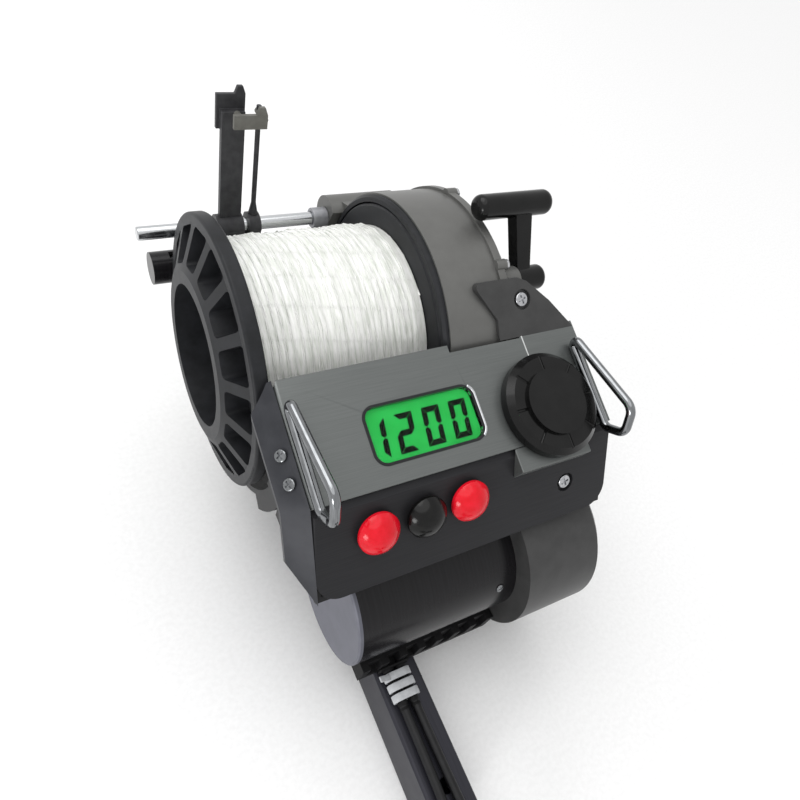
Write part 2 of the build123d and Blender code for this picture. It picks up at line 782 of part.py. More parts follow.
def moved(points, insets):
    """Each side of a closed outline moved inwards by its own amount."""
    count = len(points)
    area = sum(points[i][0] * points[(i + 1) % count][1] - points[(i + 1) % count][0] * points[i][1]
               for i in range(count))
    turn = 1 if area > 0 else -1
    sides = []
    for i in range(count):
        (y0, z0), (y1, z1) = points[i], points[(i + 1) % count]
        long = hypot(y1 - y0, z1 - z0)
        normal = (-(z1 - z0) / long * turn, (y1 - y0) / long * turn)
        sides.append((y0 + normal[0] * insets[i], z0 + normal[1] * insets[i], y1 - y0, z1 - z0))
    corners = []
    for i in range(count):
        ya, za, ua, va = sides[i - 1]
        yb, zb, ub, vb = sides[i]
        along = ((yb - ya) * vb - (zb - za) * ub) / (ua * vb - va * ub)
        corners.append((ya + ua * along, za + va * along))
    return corners


def box_shell():
    outline = outline_box()
    body = prism(outline, box_x0, box_x1)
    room = moved(outline, [-overrun, -overrun, box_wall, box_wall, box_wall, box_wall])
    cavity = prism(room, box_x0 + box_wall, box_x1 - box_wall) - cyl(box_x0, box_x1,
            box_clear_r + box_wall)
    body -= cavity
    over = side_shift
    body -= slab(upper_plane, box_x0 - over, box_x1 + over, -upper_long - over, panel_back + over,
                 -panel_thick, over)
    body -= slab(lower_plane, box_x0 - over, box_x1 + over, -lower_long - over, over, -panel_thick, over)
    body -= cyl(box_x0 - overrun, box_x1 + overrun, box_clear_r)
    body -= cyl(mouth_x - part_gap, drum_end + cover_thick + screw_high + part_gap, cover_clear_r)
    body -= cyl(motor_x1 - part_gap, box_x1 + overrun, lobe_r + seat_gap, motor_y, motor_z)
    outer_2 = pitch_r(wheel_2_teeth) + gear_room + case_wall
    body -= hull_two(drum_end + cover_thick - overrun, case_b_end + case_wall + part_gap, motor_y, motor_z,
                     lobe_r + seat_gap, out_y, out_z, outer_2 + part_gap)
    body -= cyl(lever_hub_x0 - overrun, box_x1 + overrun, lever_boss_r + overrun, lever_y, lever_z)
    return body


def upper_panel():
    points = [(back_y, back_z), (front_y, front_z)]
    body = slab(upper_plane, box_x0, box_x1, -upper_long, panel_back, -panel_thick, 0)
    body -= slab(lower_plane, box_x0 - overrun, box_x1 + overrun, -lower_long, lower_long, 0, lower_long)
    body -= slab(upper_plane, lcd_x0 - lcd_rim / 2, lcd_x1 + lcd_rim / 2, lcd_u1 - lcd_rim / 2,
                 lcd_u0 + lcd_rim / 2, -panel_thick - overrun, overrun, lcd_corner)
    body -= pin(upper_plane, knob_x, knob_u, knob_shaft_r + part_gap, -panel_thick - overrun, overrun)
    body -= cyl(box_x0 - overrun, box_x1 + overrun, box_clear_r - part_gap)
    body -= cyl(mouth_x - part_gap, drum_end + cover_thick + part_gap, cover_clear_r)
    for x in loop_x:
        for u in loop_stud_u:
            body -= pin(upper_plane, x, u, loop_stud_r, -panel_thick - overrun, overrun)
    return body


def lower_panel():
    body = slab(lower_plane, box_x0, box_x1, -lower_long, 0, -panel_thick, 0)
    corners = body.edges().filter_by(GeomType.LINE).filter_by(lambda e: abs(e.length - panel_thick) < part_gap)
    low = corners.sort_by(Axis.Z)[:2]
    body = fillet(low, lower_corner)
    body -= slab(upper_plane, box_x0 - overrun, box_x1 + overrun, -upper_long - lower_long, lower_long,
                 -panel_thick, lower_long)
    for x, v in zip(button_x, button_v):
        body -= pin(lower_plane, x, -v, stem_hole, -panel_thick - overrun, overrun)
    body -= pin(lower_plane, panel_screw_x, -panel_screw_v, recess_screw_r, -recess_screw_deep, overrun)
    body -= pin(lower_plane, panel_screw_x, -panel_screw_v, screw_shank_r, -panel_thick - overrun, overrun)
    return body


def on_plane(plane, x, u, high):
    return (plane * Pos(x, u, high)).position


def side_cover():
    """The bevelled strip left of the panels: it leans outwards as it drops."""
    rims = []
    for x, inset, long in ((box_x0, 0, lower_long), (box_x0 - side_shift, side_inset, side_low_v)):
        band = []
        for deep in (inset, inset + side_thick):
            half = radians((lower_slope - panel_slope) / 2)
            fold_u = -upper_long + deep * tan(half)
            top = on_plane(upper_plane, x, panel_back, -deep)
            fold = on_plane(upper_plane, x, fold_u, -deep)
            low = on_plane(lower_plane, x, -long, -deep)
            band.append([top, fold, low])
        ring_points = band[0] + band[1][::-1]
        rims.append(make_face(Polyline(*ring_points, close=True)))
    body = loft(rims, ruled=True)
    return body - cyl(box_x0 - side_shift - overrun, box_x0 + overrun, box_clear_r - overrun - overrun)


side_tilt = degrees(atan2(side_inset, side_shift))
side_screws_made = []
for u in side_screw_u:
    spot = upper_plane * Pos(box_x0, u, 0) * Rot(0, -side_tilt,
            0) * Pos(-side_screw_in - screw_r / 2, 0, 0)
    head = Cylinder(screw_r, screw_high, align=(Align.CENTER, Align.CENTER, Align.MIN))
    shank = Pos(0, 0, -side_thick) * Cylinder(screw_shank_r, side_thick, align=(Align.CENTER,
            Align.CENTER, Align.MIN))
    side_screws_made.append(spot * (head + shank))
cover_strip = side_cover()
for screw in side_screws_made:
    cover_strip -= screw
keep("box_shell", box_shell())
keep("upper_panel", upper_panel())
keep("lower_panel", lower_panel())
keep("side_cover", cover_strip)


def flush_screw(plane, x, u, deep, long):
    head = pin(plane, x, u, screw_r, -deep, -deep + screw_high)
    slot_cut = slab(plane, x - screw_r, x + screw_r, u - screw_shank_r / 3, u + screw_shank_r / 3,
                    -deep + screw_high / 2, -deep + screw_high + overrun)
    return head - slot_cut + pin(plane, x, u, screw_shank_r, -deep - long, -deep)


def arm_block():
    points = [(arm_left_top, arm_long), (arm_right_top, arm_long), (arm_shoulder_x, arm_shoulder_long),
              (arm_knee_x, arm_knee_long), (box_x1, 0), (arm_foot_x, 0), (arm_foot_x, arm_waist_long)]
    body = plate(arm_plane, points, -arm_thick, 0)
    corners = body.edges().filter_by(Axis((0, 0, 0), arm_plane.z_dir)).sort_by(Axis((0, 0, 0),
            arm_plane.y_dir))
    body = fillet(corners[2:], arm_corner)
    body -= slab(upper_plane, arm_left_top - overrun, box_x1 + overrun, -arm_long, arm_long, -arm_long, 0)
    body -= cyl(mouth_x, drum_end + overrun, drum_r + part_gap)
    body -= cyl(drum_end - part_gap, drum_end + cover_thick + part_gap, cover_r + part_gap)
    body -= cyl(drum_end, box_x1 + overrun, lever_boss_r + overrun, lever_y, lever_z)
    body -= pin(arm_plane, arm_screw_x, arm_screw_long, recess_screw_r, -recess_screw_deep, overrun)
    body -= pin(arm_plane, arm_screw_x, arm_screw_long, screw_shank_r, -screw_long - recess_screw_deep, 0)
    return body


def knob_ledge():
    """The lip under the knob that carries the upper panel's plane past the fold."""
    tip = on_plane(upper_plane, 0, ledge_u, 0)
    root = on_plane(lower_plane, 0, -ledge_v, 0)
    fold = on_plane(lower_plane, 0, 0, 0)
    body = prism([(fold.Y, fold.Z), (tip.Y, tip.Z), (root.Y, root.Z)], ledge_x0, ledge_x1)
    return body


keep("arm_block", arm_block())
keep("box_screws", *side_screws_made,
     flush_screw(arm_plane, arm_screw_x, arm_screw_long, recess_screw_deep, screw_long),
     flush_screw(lower_plane, panel_screw_x, -panel_screw_v, recess_screw_deep, screw_long))
keep("knob_ledge", knob_ledge())

# Controls
bezel = slab(upper_plane, lcd_x0 - lcd_rim / 2, lcd_x1 + lcd_rim / 2, lcd_u1 - lcd_rim / 2,
        lcd_u0 + lcd_rim / 2,
             -panel_thick, lcd_rim_high, lcd_corner)
bezel -= slab(upper_plane, lcd_x0, lcd_x1, lcd_u1, lcd_u0, -panel_thick - overrun, lcd_rim_high + overrun,
              lcd_corner - lcd_rim / 2)
keep("lcd_bezel", bezel)
keep("lcd_window", slab(upper_plane, lcd_x0, lcd_x1, lcd_u1, lcd_u0, -lcd_glass, 0,
        lcd_corner - lcd_rim / 2))
module_low = -panel_thick - lcd_module_thick
keep("lcd_module", slab(upper_plane, lcd_x0 - lcd_rim, lcd_x1 + lcd_rim, lcd_u1 - lcd_rim,
        lcd_u0 + lcd_rim,
                        module_low, -panel_thick))
board_high = -board_drop
board = slab(upper_plane, board_x0, board_x1, board_u1, board_u0, board_high - board_thick, board_high)
for x in (lcd_x0, lcd_x1):
    for u in (lcd_u1, lcd_u0):
        board += pin(upper_plane, x, u, screw_shank_r, board_high, module_low)
keep("circuit_board", board)


def button(x, v):
    """A domed cap with its stem, turned in one piece."""
    shoulder = button_lift + button_skirt
    top = shoulder + button_dome
    dome_r = (button_r * button_r + button_dome * button_dome) / (2 * button_dome)
    half = asin(button_r / dome_r) / 2
    foot = button_lift - stem_long
    side = Polyline((0, 0, top), (0, 0, foot), (stem_r, 0, foot), (stem_r, 0, button_lift),
                    (button_r, 0, button_lift), (button_r, 0, shoulder))
    dome = ThreePointArc((button_r, 0, shoulder),
                         (dome_r * sin(half), 0, top - dome_r + dome_r * cos(half)), (0, 0, top))
    return lower_plane * Pos(x, -v) * revolve(make_face(side + dome), Axis.Z)


def switch(x, v):
    top = -panel_thick
    body = pin(lower_plane, x, -v, switch_r, top - switch_deep, top)
    return body - pin(lower_plane, x, -v, stem_hole, top - switch_deep + switch_floor, top + overrun)


keep("button_left", button(button_x[0], button_v[0]))
keep("button_middle", button(button_x[1], button_v[1]))
keep("button_right", button(button_x[2], button_v[2]))
keep("button_switches", *[switch(x, v) for x, v in zip(button_x, button_v)])


def knob():
    body = pin(upper_plane, knob_x, knob_u, knob_r, knob_lift, knob_lift + knob_high)
    rims = body.edges().filter_by(GeomType.CIRCLE).sort_by(Axis((0, 0, 0), upper_plane.z_dir))
    body = chamfer(rims[-1], knob_bevel)
    top = knob_lift + knob_high
    body += pin(upper_plane, knob_x, knob_u, knob_disc_r, top, top + knob_disc_high)
    spot = upper_plane * Pos(knob_x, knob_u, top)
    for i in range(knob_groove_count):
        middle = (knob_groove_in + knob_groove_out) / 2
        body -= spot * Rot(0, 0, 360 * i / knob_groove_count) * Pos(middle, 0) * Rot(0, 90, 0) * Cylinder(
            knob_groove_r, knob_groove_out - knob_groove_in)
    body += pin(upper_plane, knob_x, knob_u, knob_shaft_r, knob_lift - knob_shaft_long, knob_lift)
    return body


keep("speed_knob", knob())
pot = pin(upper_plane, knob_x, knob_u, pot_r, -panel_thick - pot_thick, -panel_thick)
pot -= pin(upper_plane, knob_x, knob_u, knob_shaft_r + clear,
        knob_lift - knob_shaft_long - part_gap, overrun)
keep("potentiometer", pot)


def wire_loop(x):
    corners = [on_plane(upper_plane, x, u, h) for u, h in loop_uh]
    face = make_face(Polyline(*corners, close=True)).faces()[0]
    for corner, radius in zip(corners, loop_round):
        nearest = face.vertices().sort_by(lambda vertex: (Vector(vertex) - corner).length)[0]
        face = face.fillet_2d(radius, [nearest])
    path = face.outer_wire()
    start = path @ 0
    body = sweep(Plane(origin=start, z_dir=path % 0) * Circle(loop_wire_r), path=path)
    for u in loop_stud_u:
        body += pin(upper_plane, x, u, loop_stud_r, -loop_stud_deep, loop_wire_r)
    return body


keep("panel_loops", wire_loop(loop_x[0]), wire_loop(loop_x[1]))


# Drag lever
def drag_lever():
    hub = cyl(lever_hub_x0, lever_hub_x1, lever_hub_r, lever_y, lever_z)
    hub = fillet(hub.edges().filter_by(GeomType.CIRCLE).sort_by(Axis.X)[-1], lever_hub_round)
    long = hypot(grip_y - lever_y, grip_z - lever_z)
    turn = atan2(grip_z - lever_z, grip_y - lever_y)
    lever_plane = Plane(origin=(0, lever_y, lever_z), x_dir=(1, 0, 0), z_dir=(0, -sin(turn), cos(turn)))
    sides = [(lever_low_x0, 0), (lever_low_x1, 0), (lever_x1, long), (lever_x0, long)]
    body = hub + plate(lever_plane, sides, -lever_thick / 2, lever_thick / 2)
    body -= cyl(lever_hub_x0 - overrun, lever_hub_x1 - lever_hub_round, lever_shaft_r, lever_y, lever_z)
    return body - cyl(grip_x0, grip_x1, grip_r, grip_y, grip_z)


keep("drag_lever", drag_lever())
grip = cyl(grip_x0, grip_x1, grip_r, grip_y, grip_z)
keep("lever_grip", fillet(grip.edges().filter_by(GeomType.CIRCLE), grip_round))
lever_tooth = meshed(drag_tooth, spool_teeth, lever_teeth, drag_tooth)
lever_pinion = gear(lever_teeth, drag_ring_x, drag_ring_x + drag_ring_thick, lever_y, lever_z, lever_tooth)
keep("lever_shaft", lever_pinion + cyl(drag_ring_x, lever_hub_x1 - lever_hub_round, lever_shaft_r,
        lever_y, lever_z))

# Motor
keep("motor_tube", ring(motor_x0, motor_x1, motor_r, motor_r - motor_wall, motor_y, motor_z))
motor_disc = cyl(motor_disc_x, motor_x0, motor_r, motor_y, motor_z)
motor_disc = chamfer(motor_disc.edges().filter_by(GeomType.CIRCLE).sort_by(Axis.X)[0], motor_disc_edge)
motor_seat = cyl(motor_x0 - overrun, motor_x0 + motor_bearing_thick, motor_bearing_r + motor_wall,
        motor_y, motor_z)
motor_disc += motor_seat
motor_disc -= cyl(motor_x0, motor_x0 + motor_bearing_thick + overrun, rotor_shaft_r + clear,
        motor_y, motor_z)
keep("motor_end_disc", motor_disc)


def magnet(side):
    shell = ring(magnet_x0, magnet_x1, magnet_out, magnet_out - magnet_thick, motor_y, motor_z)
    far = motor_r + motor_r
    wedge = [(motor_y, motor_z)] + [polar(far, side + turn, motor_y, motor_z)
                                    for turn in (-magnet_half_angle, 0, magnet_half_angle)]
    return shell & prism(wedge, magnet_x0, magnet_x1)


keep("motor_magnets", magnet(0), magnet(180))


def rotor():
    body = cyl(magnet_x0 + part_gap, magnet_x1 - part_gap, rotor_r, motor_y, motor_z)
    for i in range(rotor_slot_count):
        cut_y, cut_z = polar(rotor_r, 360 * i / rotor_slot_count)
        cut = Box(magnet_x1, rotor_slot_deep, rotor_slot_wide)
        turned = Rot(360 * i / rotor_slot_count, 0, 0) * cut
        body -= Pos((magnet_x0 + magnet_x1) / 2, motor_y + cut_y, motor_z + cut_z) * turned
    body += cyl(commutator_x0, commutator_x1, commutator_r, motor_y, motor_z)
    body += cyl(motor_x0 + part_gap / 2, case_c_end - case_wall / 2, rotor_shaft_r, motor_y, motor_z)
    return body


keep("motor_rotor", rotor() + gear(motor_teeth, gear_c_x, gear_c_x + gear_c_wide, motor_y, motor_z,
        motor_tooth))


# Chassis, foot and bar
def sector(x0, x1, inner, outer, a0, a1):
    far = outer / cos(radians((a1 - a0) / 6))
    wedge = [(0, 0)] + [polar(far, a0 + (a1 - a0) * i / 3) for i in range(4)]
    return ring(x0, x1, outer, inner) & prism(wedge, x0, x1)


def rear_shell():
    body = sector(rear_x0, rear_x1, rear_in_r, rear_in_r + rear_thick, rear_a0, rear_a1)
    body += sector(rear_x0, rear_x1, rear_in_r, rear_bulge_r, rear_bulge_a0, rear_bulge_a1)
    duct = block(duct_x0, duct_x1, duct_y0, duct_y1, duct_z0, under_z)
    low = duct.edges().filter_by(Axis.X).sort_by(Axis.Z)[:2]
    body += fillet(low.sort_by(Axis.Y)[0], duct_round)
    outline = [(duct_y1, under_z), (duct_y0 + duct_round, under_z), (duct_y0 + duct_round,
            motor_z + motor_r / 2),
               (foot_y1 + part_gap, motor_z), (foot_y1 + part_gap, bar_top), (pad_y1, bar_top),
               (pad_y1, -rear_in_r)]
    step = (rear_x1 - duct_x1 - rear_rib_thick) / (rear_rib_count - 1)
    for i in range(rear_rib_count):
        x = duct_x1 + rear_rib_thick + step * i
        body += prism(outline, min(x, rear_x1 - rear_rib_thick), min(x,
                rear_x1 - rear_rib_thick) + rear_rib_thick)
    body += block(pad_x0, pad_x1, pad_y0, pad_y1, bar_top, bar_top + pad_thick)
    body -= cyl(rear_x0 - overrun, rear_x1 + overrun, rear_in_r)
    body -= cyl(duct_x1, rear_x1 + overrun, motor_r + seat_gap, motor_y, motor_z)
    for y in pad_bolt_y:
        body -= Pos(bar_mid_x, y, bar_top) * Cylinder(bolt_r, pad_thick + pad_thick + overrun)
        body -= Pos(bar_mid_x, y, bar_top + pad_thick) * Cylinder(
            bolt_head_r + part_gap, bolt_head_high + part_gap, align=(Align.CENTER, Align.CENTER,
                    Align.MIN))
    return body


def foot_clamp():
    body = block(foot_x0, foot_x1, foot_y0, foot_y1, bar_top, foot_top)
    body -= cyl(foot_x0 - overrun, foot_x1 + overrun, motor_r + seat_gap, motor_y, motor_z)
    step = (foot_x1 - foot_x0 - foot_rib_thick) / (foot_rib_count - 1)
    for i in range(foot_rib_count - 1):
        x = foot_x0 + foot_rib_thick + step * i
        body -= block(x, x + step - foot_rib_thick, foot_y0 - overrun, foot_y0 + foot_rib_gap_deep,
                      bar_top + foot_plate, foot_top + overrun)
    low = foot_x0 + foot_rib_thick
    body -= block(low, foot_x1 - foot_rib_thick, foot_bolt_y - bolt_head_r - overrun, foot_y1 + overrun,
                  bar_top + foot_plate, foot_top + overrun)
    for x in foot_bolt_x:
        body -= Pos(x, foot_bolt_y, bar_top) * Cylinder(bolt_r, foot_plate + foot_plate + overrun)
    return body


def bolt(x, y, plate_high):
    top = bar_top + plate_high
    shank = Pos(x, y, bar_top - bar_wall) * Cylinder(
        bolt_r, bar_wall + plate_high, align=(Align.CENTER, Align.CENTER, Align.MIN))
    head = Pos(x, y, top) * Cylinder(bolt_head_r, bolt_head_high, align=(Align.CENTER, Align.CENTER,
            Align.MIN))
    socket = Pos(x, y, top + bolt_head_high / 2) * extrude(RegularPolygon(bolt_r, 6),
            amount=bolt_head_high)
    return shank + head - socket


def mounting_bar():
    body = block(bar_x0, bar_x1, bar_y0, bar_y1, bar_bottom, bar_top)
    body = fillet(body.edges().filter_by(Axis.Y), bar_round)
    body -= block(bar_x0 + bar_wall, bar_x1 - bar_wall, bar_y0 - overrun, bar_y1 + overrun,
                  bar_bottom + bar_wall, bar_top - bar_wall)
    for y in bar_hole_y:
        body -= Pos(bar_mid_x, y, bar_bottom) * Cylinder(bar_hole_r,
                bar_top - bar_bottom + bar_top - bar_bottom
                                                         + overrun)
    for x in foot_bolt_x:
        body -= Pos(x, foot_bolt_y, bar_top) * Cylinder(bolt_r, bar_wall + bar_wall + overrun)
    for y in pad_bolt_y:
        body -= Pos(bar_mid_x, y, bar_top) * Cylinder(bolt_r, bar_wall + bar_wall + overrun)
    return body


keep("rear_shell", rear_shell())
keep("foot_clamp", foot_clamp())
keep("foot_bolts", *[bolt(x, foot_bolt_y, foot_plate) for x in foot_bolt_x],
     *[bolt(bar_mid_x, y, pad_thick) for y in pad_bolt_y])
keep("mounting_bar", mounting_bar())
caps = []
for y0, y1 in ((bar_y0, bar_y0 + bar_wall), (bar_y1 - bar_wall, bar_y1)):
    caps.append(block(bar_x0 + bar_wall, bar_x1 - bar_wall, y0, y1, bar_bottom + bar_wall,
            bar_top - bar_wall))
keep("bar_plugs", *caps)


# Wound line, and the power leads with their coils
def biarc(p0, t0, p1, t1):
    """Two arcs that leave p0 along t0 and reach p1 along t1."""
    span = p1 - p0
    both = t0 + t1
    fold = 2 * (1 - t0.dot(t1))
    reach = (-span.dot(both) + sqrt(span.dot(both) ** 2 + fold * span.dot(span))) / fold
    first = p0 + t0 * reach
    second = p1 - t1 * reach
    middle = (first + second) / 2
    heading = (second - first).normalized()
    return [TangentArc(p0, middle, tangent=t0), TangentArc(middle, p1, tangent=heading)]


def least_gap(edges, tube_r):
    """The smallest clear gap between passes of one tube, measured on points."""
    points = []
    along = 0
    for edge in edges:
        for i in range(6):
            points.append((edge @ (i / 6), along + edge.length * i / 6))
        along += edge.length
    best = along
    for i, (point, far) in enumerate(points):
        for other, other_far in points[i + 1:]:
            if other_far - far > tube_r * 2 * pi * 2:
                best = min(best, (other - point).length)
    return best - tube_r - tube_r


def tube_along(edges, radius):
    path = Wire(edges)
    start = path @ 0
    return sweep(Plane(origin=start, z_dir=path % 0) * Circle(radius), path=path), path.length


def winding():
    """The outer layer of line: one tube wound round the packing."""
    middle_r = winding_core_r + clear + line_tube_r
    first_x = flange_thick + line_end_gap
    last_x = right_flange_x - line_end_gap
    turn = (last_x - first_x) / line_loops
    tilt = atan2(turn, 2 * pi * middle_r)

    def place(half):
        angle = pi * half
        point = Vector(first_x + turn * half / 2, middle_r * cos(angle), middle_r * sin(angle))
        heading = Vector(sin(tilt), -cos(tilt) * sin(angle), cos(tilt) * cos(angle))
        return point, heading

    start, heading = place(0)
    edges = [Line(start - heading * line_tube_r * 2, start)]
    for half in range(2 * line_loops):
        p0, t0 = place(half)
        p1, t1 = place(half + 1)
        edges += biarc(p0, t0, p1, t1)
    end, heading = place(2 * line_loops)
    edges.append(Line(end, end + heading * line_tube_r * 2))
    body, long = tube_along(edges, line_tube_r)
    print("winding length", round(long), "least gap", round(least_gap(edges, line_tube_r), 2),
          "volume share", round(body.volume / (long * pi * line_tube_r ** 2), 3))
    return body


keep("line_winding", winding())
lead_mid_x = (lead_x[0] + lead_x[1]) / 2
lead_top = bar_top + lead_lift + lead_r
coil_z = bar_bottom + coil_rest


def lead_points(side):
    """The free run of one lead, from the gland to its coil."""
    x = lead_x[0] if side < 0 else lead_x[1]
    upper = coil_z + coil_layer
    return [Vector(x, lead_start_y, lead_top), Vector(x + side * lead_bow, lead_bow_y, lead_top),
            Vector(x + side * lead_leave, lead_leave_y, lead_top),
            Vector(x + side * lead_fall, lead_fall_y, lead_top - lead_fall_z),
            Vector(x + side * lead_land, lead_land_y, upper), Vector(x + side * lead_coil,
                    lead_coil_y, upper)]


def corner_radii(points):
    radii = []
    for a, b, c in zip(points, points[1:], points[2:]):
        turn = radians((b - a).get_angle(c - b))
        radii.append(min((b - a).length, (c - b).length) * 9 / 20 / tan(turn / 2))
    return radii


def lead(side):
    points = lead_points(side)
    radii = corner_radii(points)
    path = FilletPolyline(*points, radius=radii)
    start = path @ 0
    body = sweep(Plane(origin=start, z_dir=path % 0) * Circle(lead_r), path=path)
    print("lead length", round(path.length), "radii", [round(r) for r in radii],
          "volume share", round(body.volume / (path.length * pi * lead_r ** 2), 3))
    return body


def coil(side):
    """Spirals in on the upper layer, drops a layer, then spirals out."""
    upper = coil_z + coil_layer
    points = lead_points(side)
    heading = (points[-1] - points[-2]).normalized()
    start = points[-1]
    enter = start + heading * lead_r * 2
    across = Vector(heading.Y, -heading.X, 0) * -side
    edges = [Line(start, enter)]
    spot = enter
    inward = [coil_out_r - coil_step * i for i in range(2 * coil_turns)]
    plan = [(radius, 0) for radius in inward]
    plan.append((inward[-1] - coil_step, coil_z - upper))
    plan += [(radius, 0) for radius in inward[::-1]]
    flip = 1
    for radius, rise in plan:
        after = spot + across * radius * 2 * flip + Vector(0, 0, rise)
        edges += biarc(spot, heading * flip, after, heading * -flip)
        spot = after
        flip = -flip
    leave = heading * flip
    end = spot + leave * lead_r * 2
    edges.append(Line(spot, end))
    body, long = tube_along(edges, lead_r)
    print("coil length", round(long), "least gap", round(least_gap(edges, lead_r), 2),
          "volume share", round(body.volume / (long * pi * lead_r ** 2), 3))
    return body, end, leave


def lead_plug(end, leave):
    turn = degrees(atan2(leave.Y, leave.X))
    low = bar_bottom - end.Z
    shell = Box(plug_long, plug_wide, plug_high, align=(Align.MIN, Align.CENTER, Align.MIN))
    shell = fillet(shell.edges().filter_by(Axis.X), plug_pin_r)
    pins = Pos(plug_long, 0, plug_high / 2) * Rot(0, 90, 0) * Cylinder(
        plug_pin_r, plug_pin_long, align=(Align.CENTER, Align.CENTER, Align.MIN))
    return Pos(end.X, end.Y, end.Z + low) * Rot(0, 0, turn) * (shell + pins)


def lead_ties():
    rings = []
    for y in tie_y:
        band = Pos(lead_mid_x, y, lead_top) * Rot(90, 0, 0)
        half = (lead_x[1] - lead_x[0]) / 2
        outer = SlotCenterToCenter(half + half, 2 * (lead_r + tie_thick))
        inner = SlotCenterToCenter(half + half, 2 * (lead_r + clear))
        rings.append(band * extrude(outer - inner, amount=tie_wide / 2, both=True))
    tail = Pos(lead_x[0] - lead_r - tie_thick, tie_y[-1], lead_top) * Rot(0, 180 - tie_tail_lean, 0) * Box(
        tie_tail, tie_wide, tie_thick, align=(Align.MIN, Align.CENTER, Align.CENTER))
    inner_cut = Pos(lead_mid_x, tie_y[-1], lead_top) * Rot(90, 0, 0) * extrude(
        SlotCenterToCenter(lead_x[1] - lead_x[0], 2 * (lead_r + clear)), amount=tie_wide, both=True)
    rings[-1] = rings[-1] + (tail - inner_cut)
    return rings


keep("lead_gland", block(gland_x0, gland_x1, lead_start_y, foot_y0, bar_top, bar_top + gland_high))
keep("power_lead_left", lead(-1))
keep("power_lead_right", lead(1))
left_coil, left_end, left_leave = coil(-1)
right_coil, right_end, right_leave = coil(1)
keep("lead_coil_left", left_coil)
keep("lead_coil_right", right_coil)
keep("lead_plugs", lead_plug(left_end, left_leave), lead_plug(right_end, right_leave))
keep("lead_ties", *lead_ties())

os.makedirs("parts", exist_ok=True)
for name, shapes in nodes.items():
    solids = [solid for shape in shapes for solid in shape.solids()]
    whole = solids[0] if len(solids) == 1 else Compound(children=solids)
    export_step(whole, "parts/" + name + ".step")
    print(name, len(solids), "solid" if len(solids) == 1 else "solids")
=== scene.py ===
import math
import random

import bmesh
import bpy
from mathutils import Matrix, Vector


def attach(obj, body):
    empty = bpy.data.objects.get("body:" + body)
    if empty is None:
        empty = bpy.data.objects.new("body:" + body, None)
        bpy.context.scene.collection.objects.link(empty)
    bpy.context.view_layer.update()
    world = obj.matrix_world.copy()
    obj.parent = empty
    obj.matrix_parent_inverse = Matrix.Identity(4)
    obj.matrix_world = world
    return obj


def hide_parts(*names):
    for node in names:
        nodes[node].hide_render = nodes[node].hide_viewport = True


# Electric fishing reel, dressed for a studio picture. Everything is in metres.
# The spool turns about a line along X at the height SPOOL_HIGH above the
# mounting bar's underside, Y points away from the angler and Z is up.

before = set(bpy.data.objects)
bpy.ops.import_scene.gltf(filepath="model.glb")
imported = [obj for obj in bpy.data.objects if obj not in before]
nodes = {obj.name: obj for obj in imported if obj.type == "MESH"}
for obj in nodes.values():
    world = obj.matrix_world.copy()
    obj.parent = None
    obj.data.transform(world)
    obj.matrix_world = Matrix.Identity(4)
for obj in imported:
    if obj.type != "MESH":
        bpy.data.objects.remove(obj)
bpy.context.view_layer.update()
bpy.ops.object.select_all(action="DESELECT")

MM = 0.001
SPOOL_HIGH = 144 * MM
REEL_SHIFT = -67 * MM


def spot(x, y, z):
    """A point given from the spool's outer left face and its axis, in millimetres."""
    return Vector((x * MM + REEL_SHIFT, y * MM, z * MM + SPOOL_HIGH))


# Camera, at the photograph's angle
CAMERA_PLACE = (-0.15108, -0.22877, 0.4451)
CAMERA_BACK = (-0.4546, -0.4425, 0.773)
CAMERA_LIFT = (0.206, 0.7921, 0.5745)
CAMERA_LENS = 30.61

camera_data = bpy.data.cameras.new("studio_camera")
camera_data.sensor_width = 36
camera_data.lens = CAMERA_LENS
camera_data.clip_start = 0.01
camera = bpy.data.objects.new("studio_camera", camera_data)
bpy.context.scene.collection.objects.link(camera)
camera_back = Vector(CAMERA_BACK).normalized()
camera_right = Vector(CAMERA_LIFT).cross(camera_back).normalized()
camera_up = camera_back.cross(camera_right)
camera.matrix_world = Matrix.Translation(CAMERA_PLACE) @ Matrix(
    (camera_right, camera_up, camera_back)).transposed().to_4x4()
bpy.context.scene.camera = camera


# Power leads. Each leaves the gland under the motor, lies along the bar,
# comes down to the floor past the bar's end and is wound into a coil there.
LEAD_MM = 5.5
LEAD_THICK = LEAD_MM * MM
LEAD_LEFT = -6.2
LEAD_RIGHT = 1.2
LEAD_AXIS = 38.15
GLAND_FRONT = -174
FLOOR_RUN = 9.05
COIL_HEADS = 8
COIL_INWARD = (39, 36, 33, 30, 27, 24, 21, 18)
COIL_TURNS = COIL_INWARD + (15,) + COIL_INWARD[::-1]
COIL_DROP_AT = 8
COIL_DROP = 6.1


def lead_route(points, across):
    """The free run's points, then the coil's: in on the upper layer, down, and out again."""
    route = [Vector(p) for p in points]
    heading = (route[-1] - route[-2]).normalized()
    here = route[-1] + heading * LEAD_MM
    side = Vector((across, 0, 0))
    way = 1
    route.append(here)
    for i, radius in enumerate(COIL_TURNS):
        middle = here + side * way * radius
        fall = COIL_DROP if i == COIL_DROP_AT else 0
        for k in range(COIL_HEADS):
            part = (k + 0.5) / COIL_HEADS
            angle = math.pi * part
            route.append(middle - side * way * radius * math.cos(angle)
                         + heading * way * radius * math.sin(angle) - Vector((0, 0, fall * part)))
        here = here + side * way * radius * 2 - Vector((0, 0, fall))
        way = -way
    route.append(here)
    route.append(here + heading * way * LEAD_MM)
    return route


